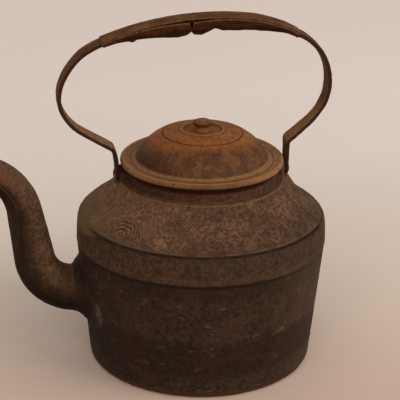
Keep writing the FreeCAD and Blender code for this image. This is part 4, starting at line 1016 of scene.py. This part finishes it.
# Floor, light and camera: pale paper with painted light that brightens it towards the back, under a large soft
# lamp from the right, a weaker one from the front left and an even pale room.
FLOOR_HALF, FLOOR_DROP = 9000.0, 0.0002
PAPER_START, PAPER_RUN = -150.0, 1600.0
PAPER_PAINTED_LIGHT = (
    (0.0, rgb(204, 176, 158)),
    (0.12, rgb(214, 193, 177)),
    (0.24, rgb(219, 202, 188)),
    (0.45, rgb(235, 221, 212)),
    (0.62, rgb(240, 226, 218)),
    (0.95, rgb(246, 229, 221)),
)
floor_corners = np.array([(-1.0, -1.0, 0.0), (1.0, -1.0, 0.0), (1.0, 1.0, 0.0), (-1.0, 1.0, 0.0)])
floor = piece_from("floor", floor_corners * FLOOR_HALF, np.array([(0, 1, 2, 3)]))
floor.location = (0.0, 0.0, -FLOOR_DROP)
floor_paper = bpy.data.materials.new("floor_paper")
spot = place_of(floor_paper)
# painted light: the paper brightens towards the back
backwards = (spot.part(1) - PAPER_START).frayed(spot.grain(160.0, 3.0, 0.5), 60.0) * (1.0 / PAPER_RUN)
paper = backwards.node("ShaderNodeValToRGB", {"stops": PAPER_PAINTED_LIGHT}, {"Fac": backwards})
finish_with(spot, paper, 0.9, spot.grain(3.0, 3.0, 0.5, 2.0), depth=0.05, specular=0.1)
dress(floor, floor_paper)

scene = bpy.context.scene
ROOM_LIGHT, ROOM_SEEN = rgb(255, 250, 245), rgb(212, 195, 185)
ROOM_STRENGTH = 0.58
RAYS = ("Is Camera Ray", "Is Glossy Ray", "Is Transmission Ray")
room = bpy.data.worlds.new("room")
scene.world = room
room.use_nodes = True
room.node_tree.nodes.clear()
sky = Tone(room.node_tree, None)
seen, glossy, through = [sky.node("ShaderNodeLightPath", {}, {}, ray) for ray in RAYS]
lit_room = sky.node("ShaderNodeBackground", {}, {"Color": ROOM_LIGHT, "Strength": ROOM_STRENGTH})
seen_room = sky.node("ShaderNodeBackground", {}, {"Color": ROOM_SEEN, "Strength": 1.0})
shows = seen.maths("MAXIMUM", seen, glossy + through)
both = sky.node("ShaderNodeMixShader", {}, {0: shows, 1: lit_room, 2: seen_room})
sky.node("ShaderNodeOutputWorld", {}, {"Surface": both})

LAMP_COLOUR, LAMP_AIM = (1.0, 0.97, 0.93), Vector((0.0, 0.0, 0.12))
for name, watts, across, place in (
    ("soft_lamp", 27.0, 1.7, (1.8, -1.1, 1.4)),
    ("fill_lamp", 19.0, 1.9, (-0.6, -2.1, 1.6)),
):
    lamp_data = bpy.data.lights.new(name, "AREA")
    lamp_data.energy, lamp_data.size, lamp_data.color = watts, across, LAMP_COLOUR
    lamp = bpy.data.objects.new(name, lamp_data)
    lamp.location = place
    lamp.rotation_euler = (LAMP_AIM - lamp.location).to_track_quat("-Z", "Y").to_euler()
    scene.collection.objects.link(lamp)

CAMERA_LENS, CAMERA_SENSOR, CAMERA_ROLL = 135.0, 36.0, math.radians(0.84)
CAMERA_AT, CAMERA_HEADING = (-0.2154, -1.352, 0.707), Vector((0.1453, 0.9173, -0.3709))
camera_data = bpy.data.cameras.new("camera")
camera_data.lens, camera_data.sensor_width = CAMERA_LENS, CAMERA_SENSOR
camera = bpy.data.objects.new("camera", camera_data)
camera.location = CAMERA_AT
camera.rotation_euler = CAMERA_HEADING.to_track_quat("-Z", "Y").to_euler()
camera.rotation_euler.rotate_axis("Z", CAMERA_ROLL)
scene.collection.objects.link(camera)
scene.camera = camera
scene.view_settings.view_transform = "Standard"
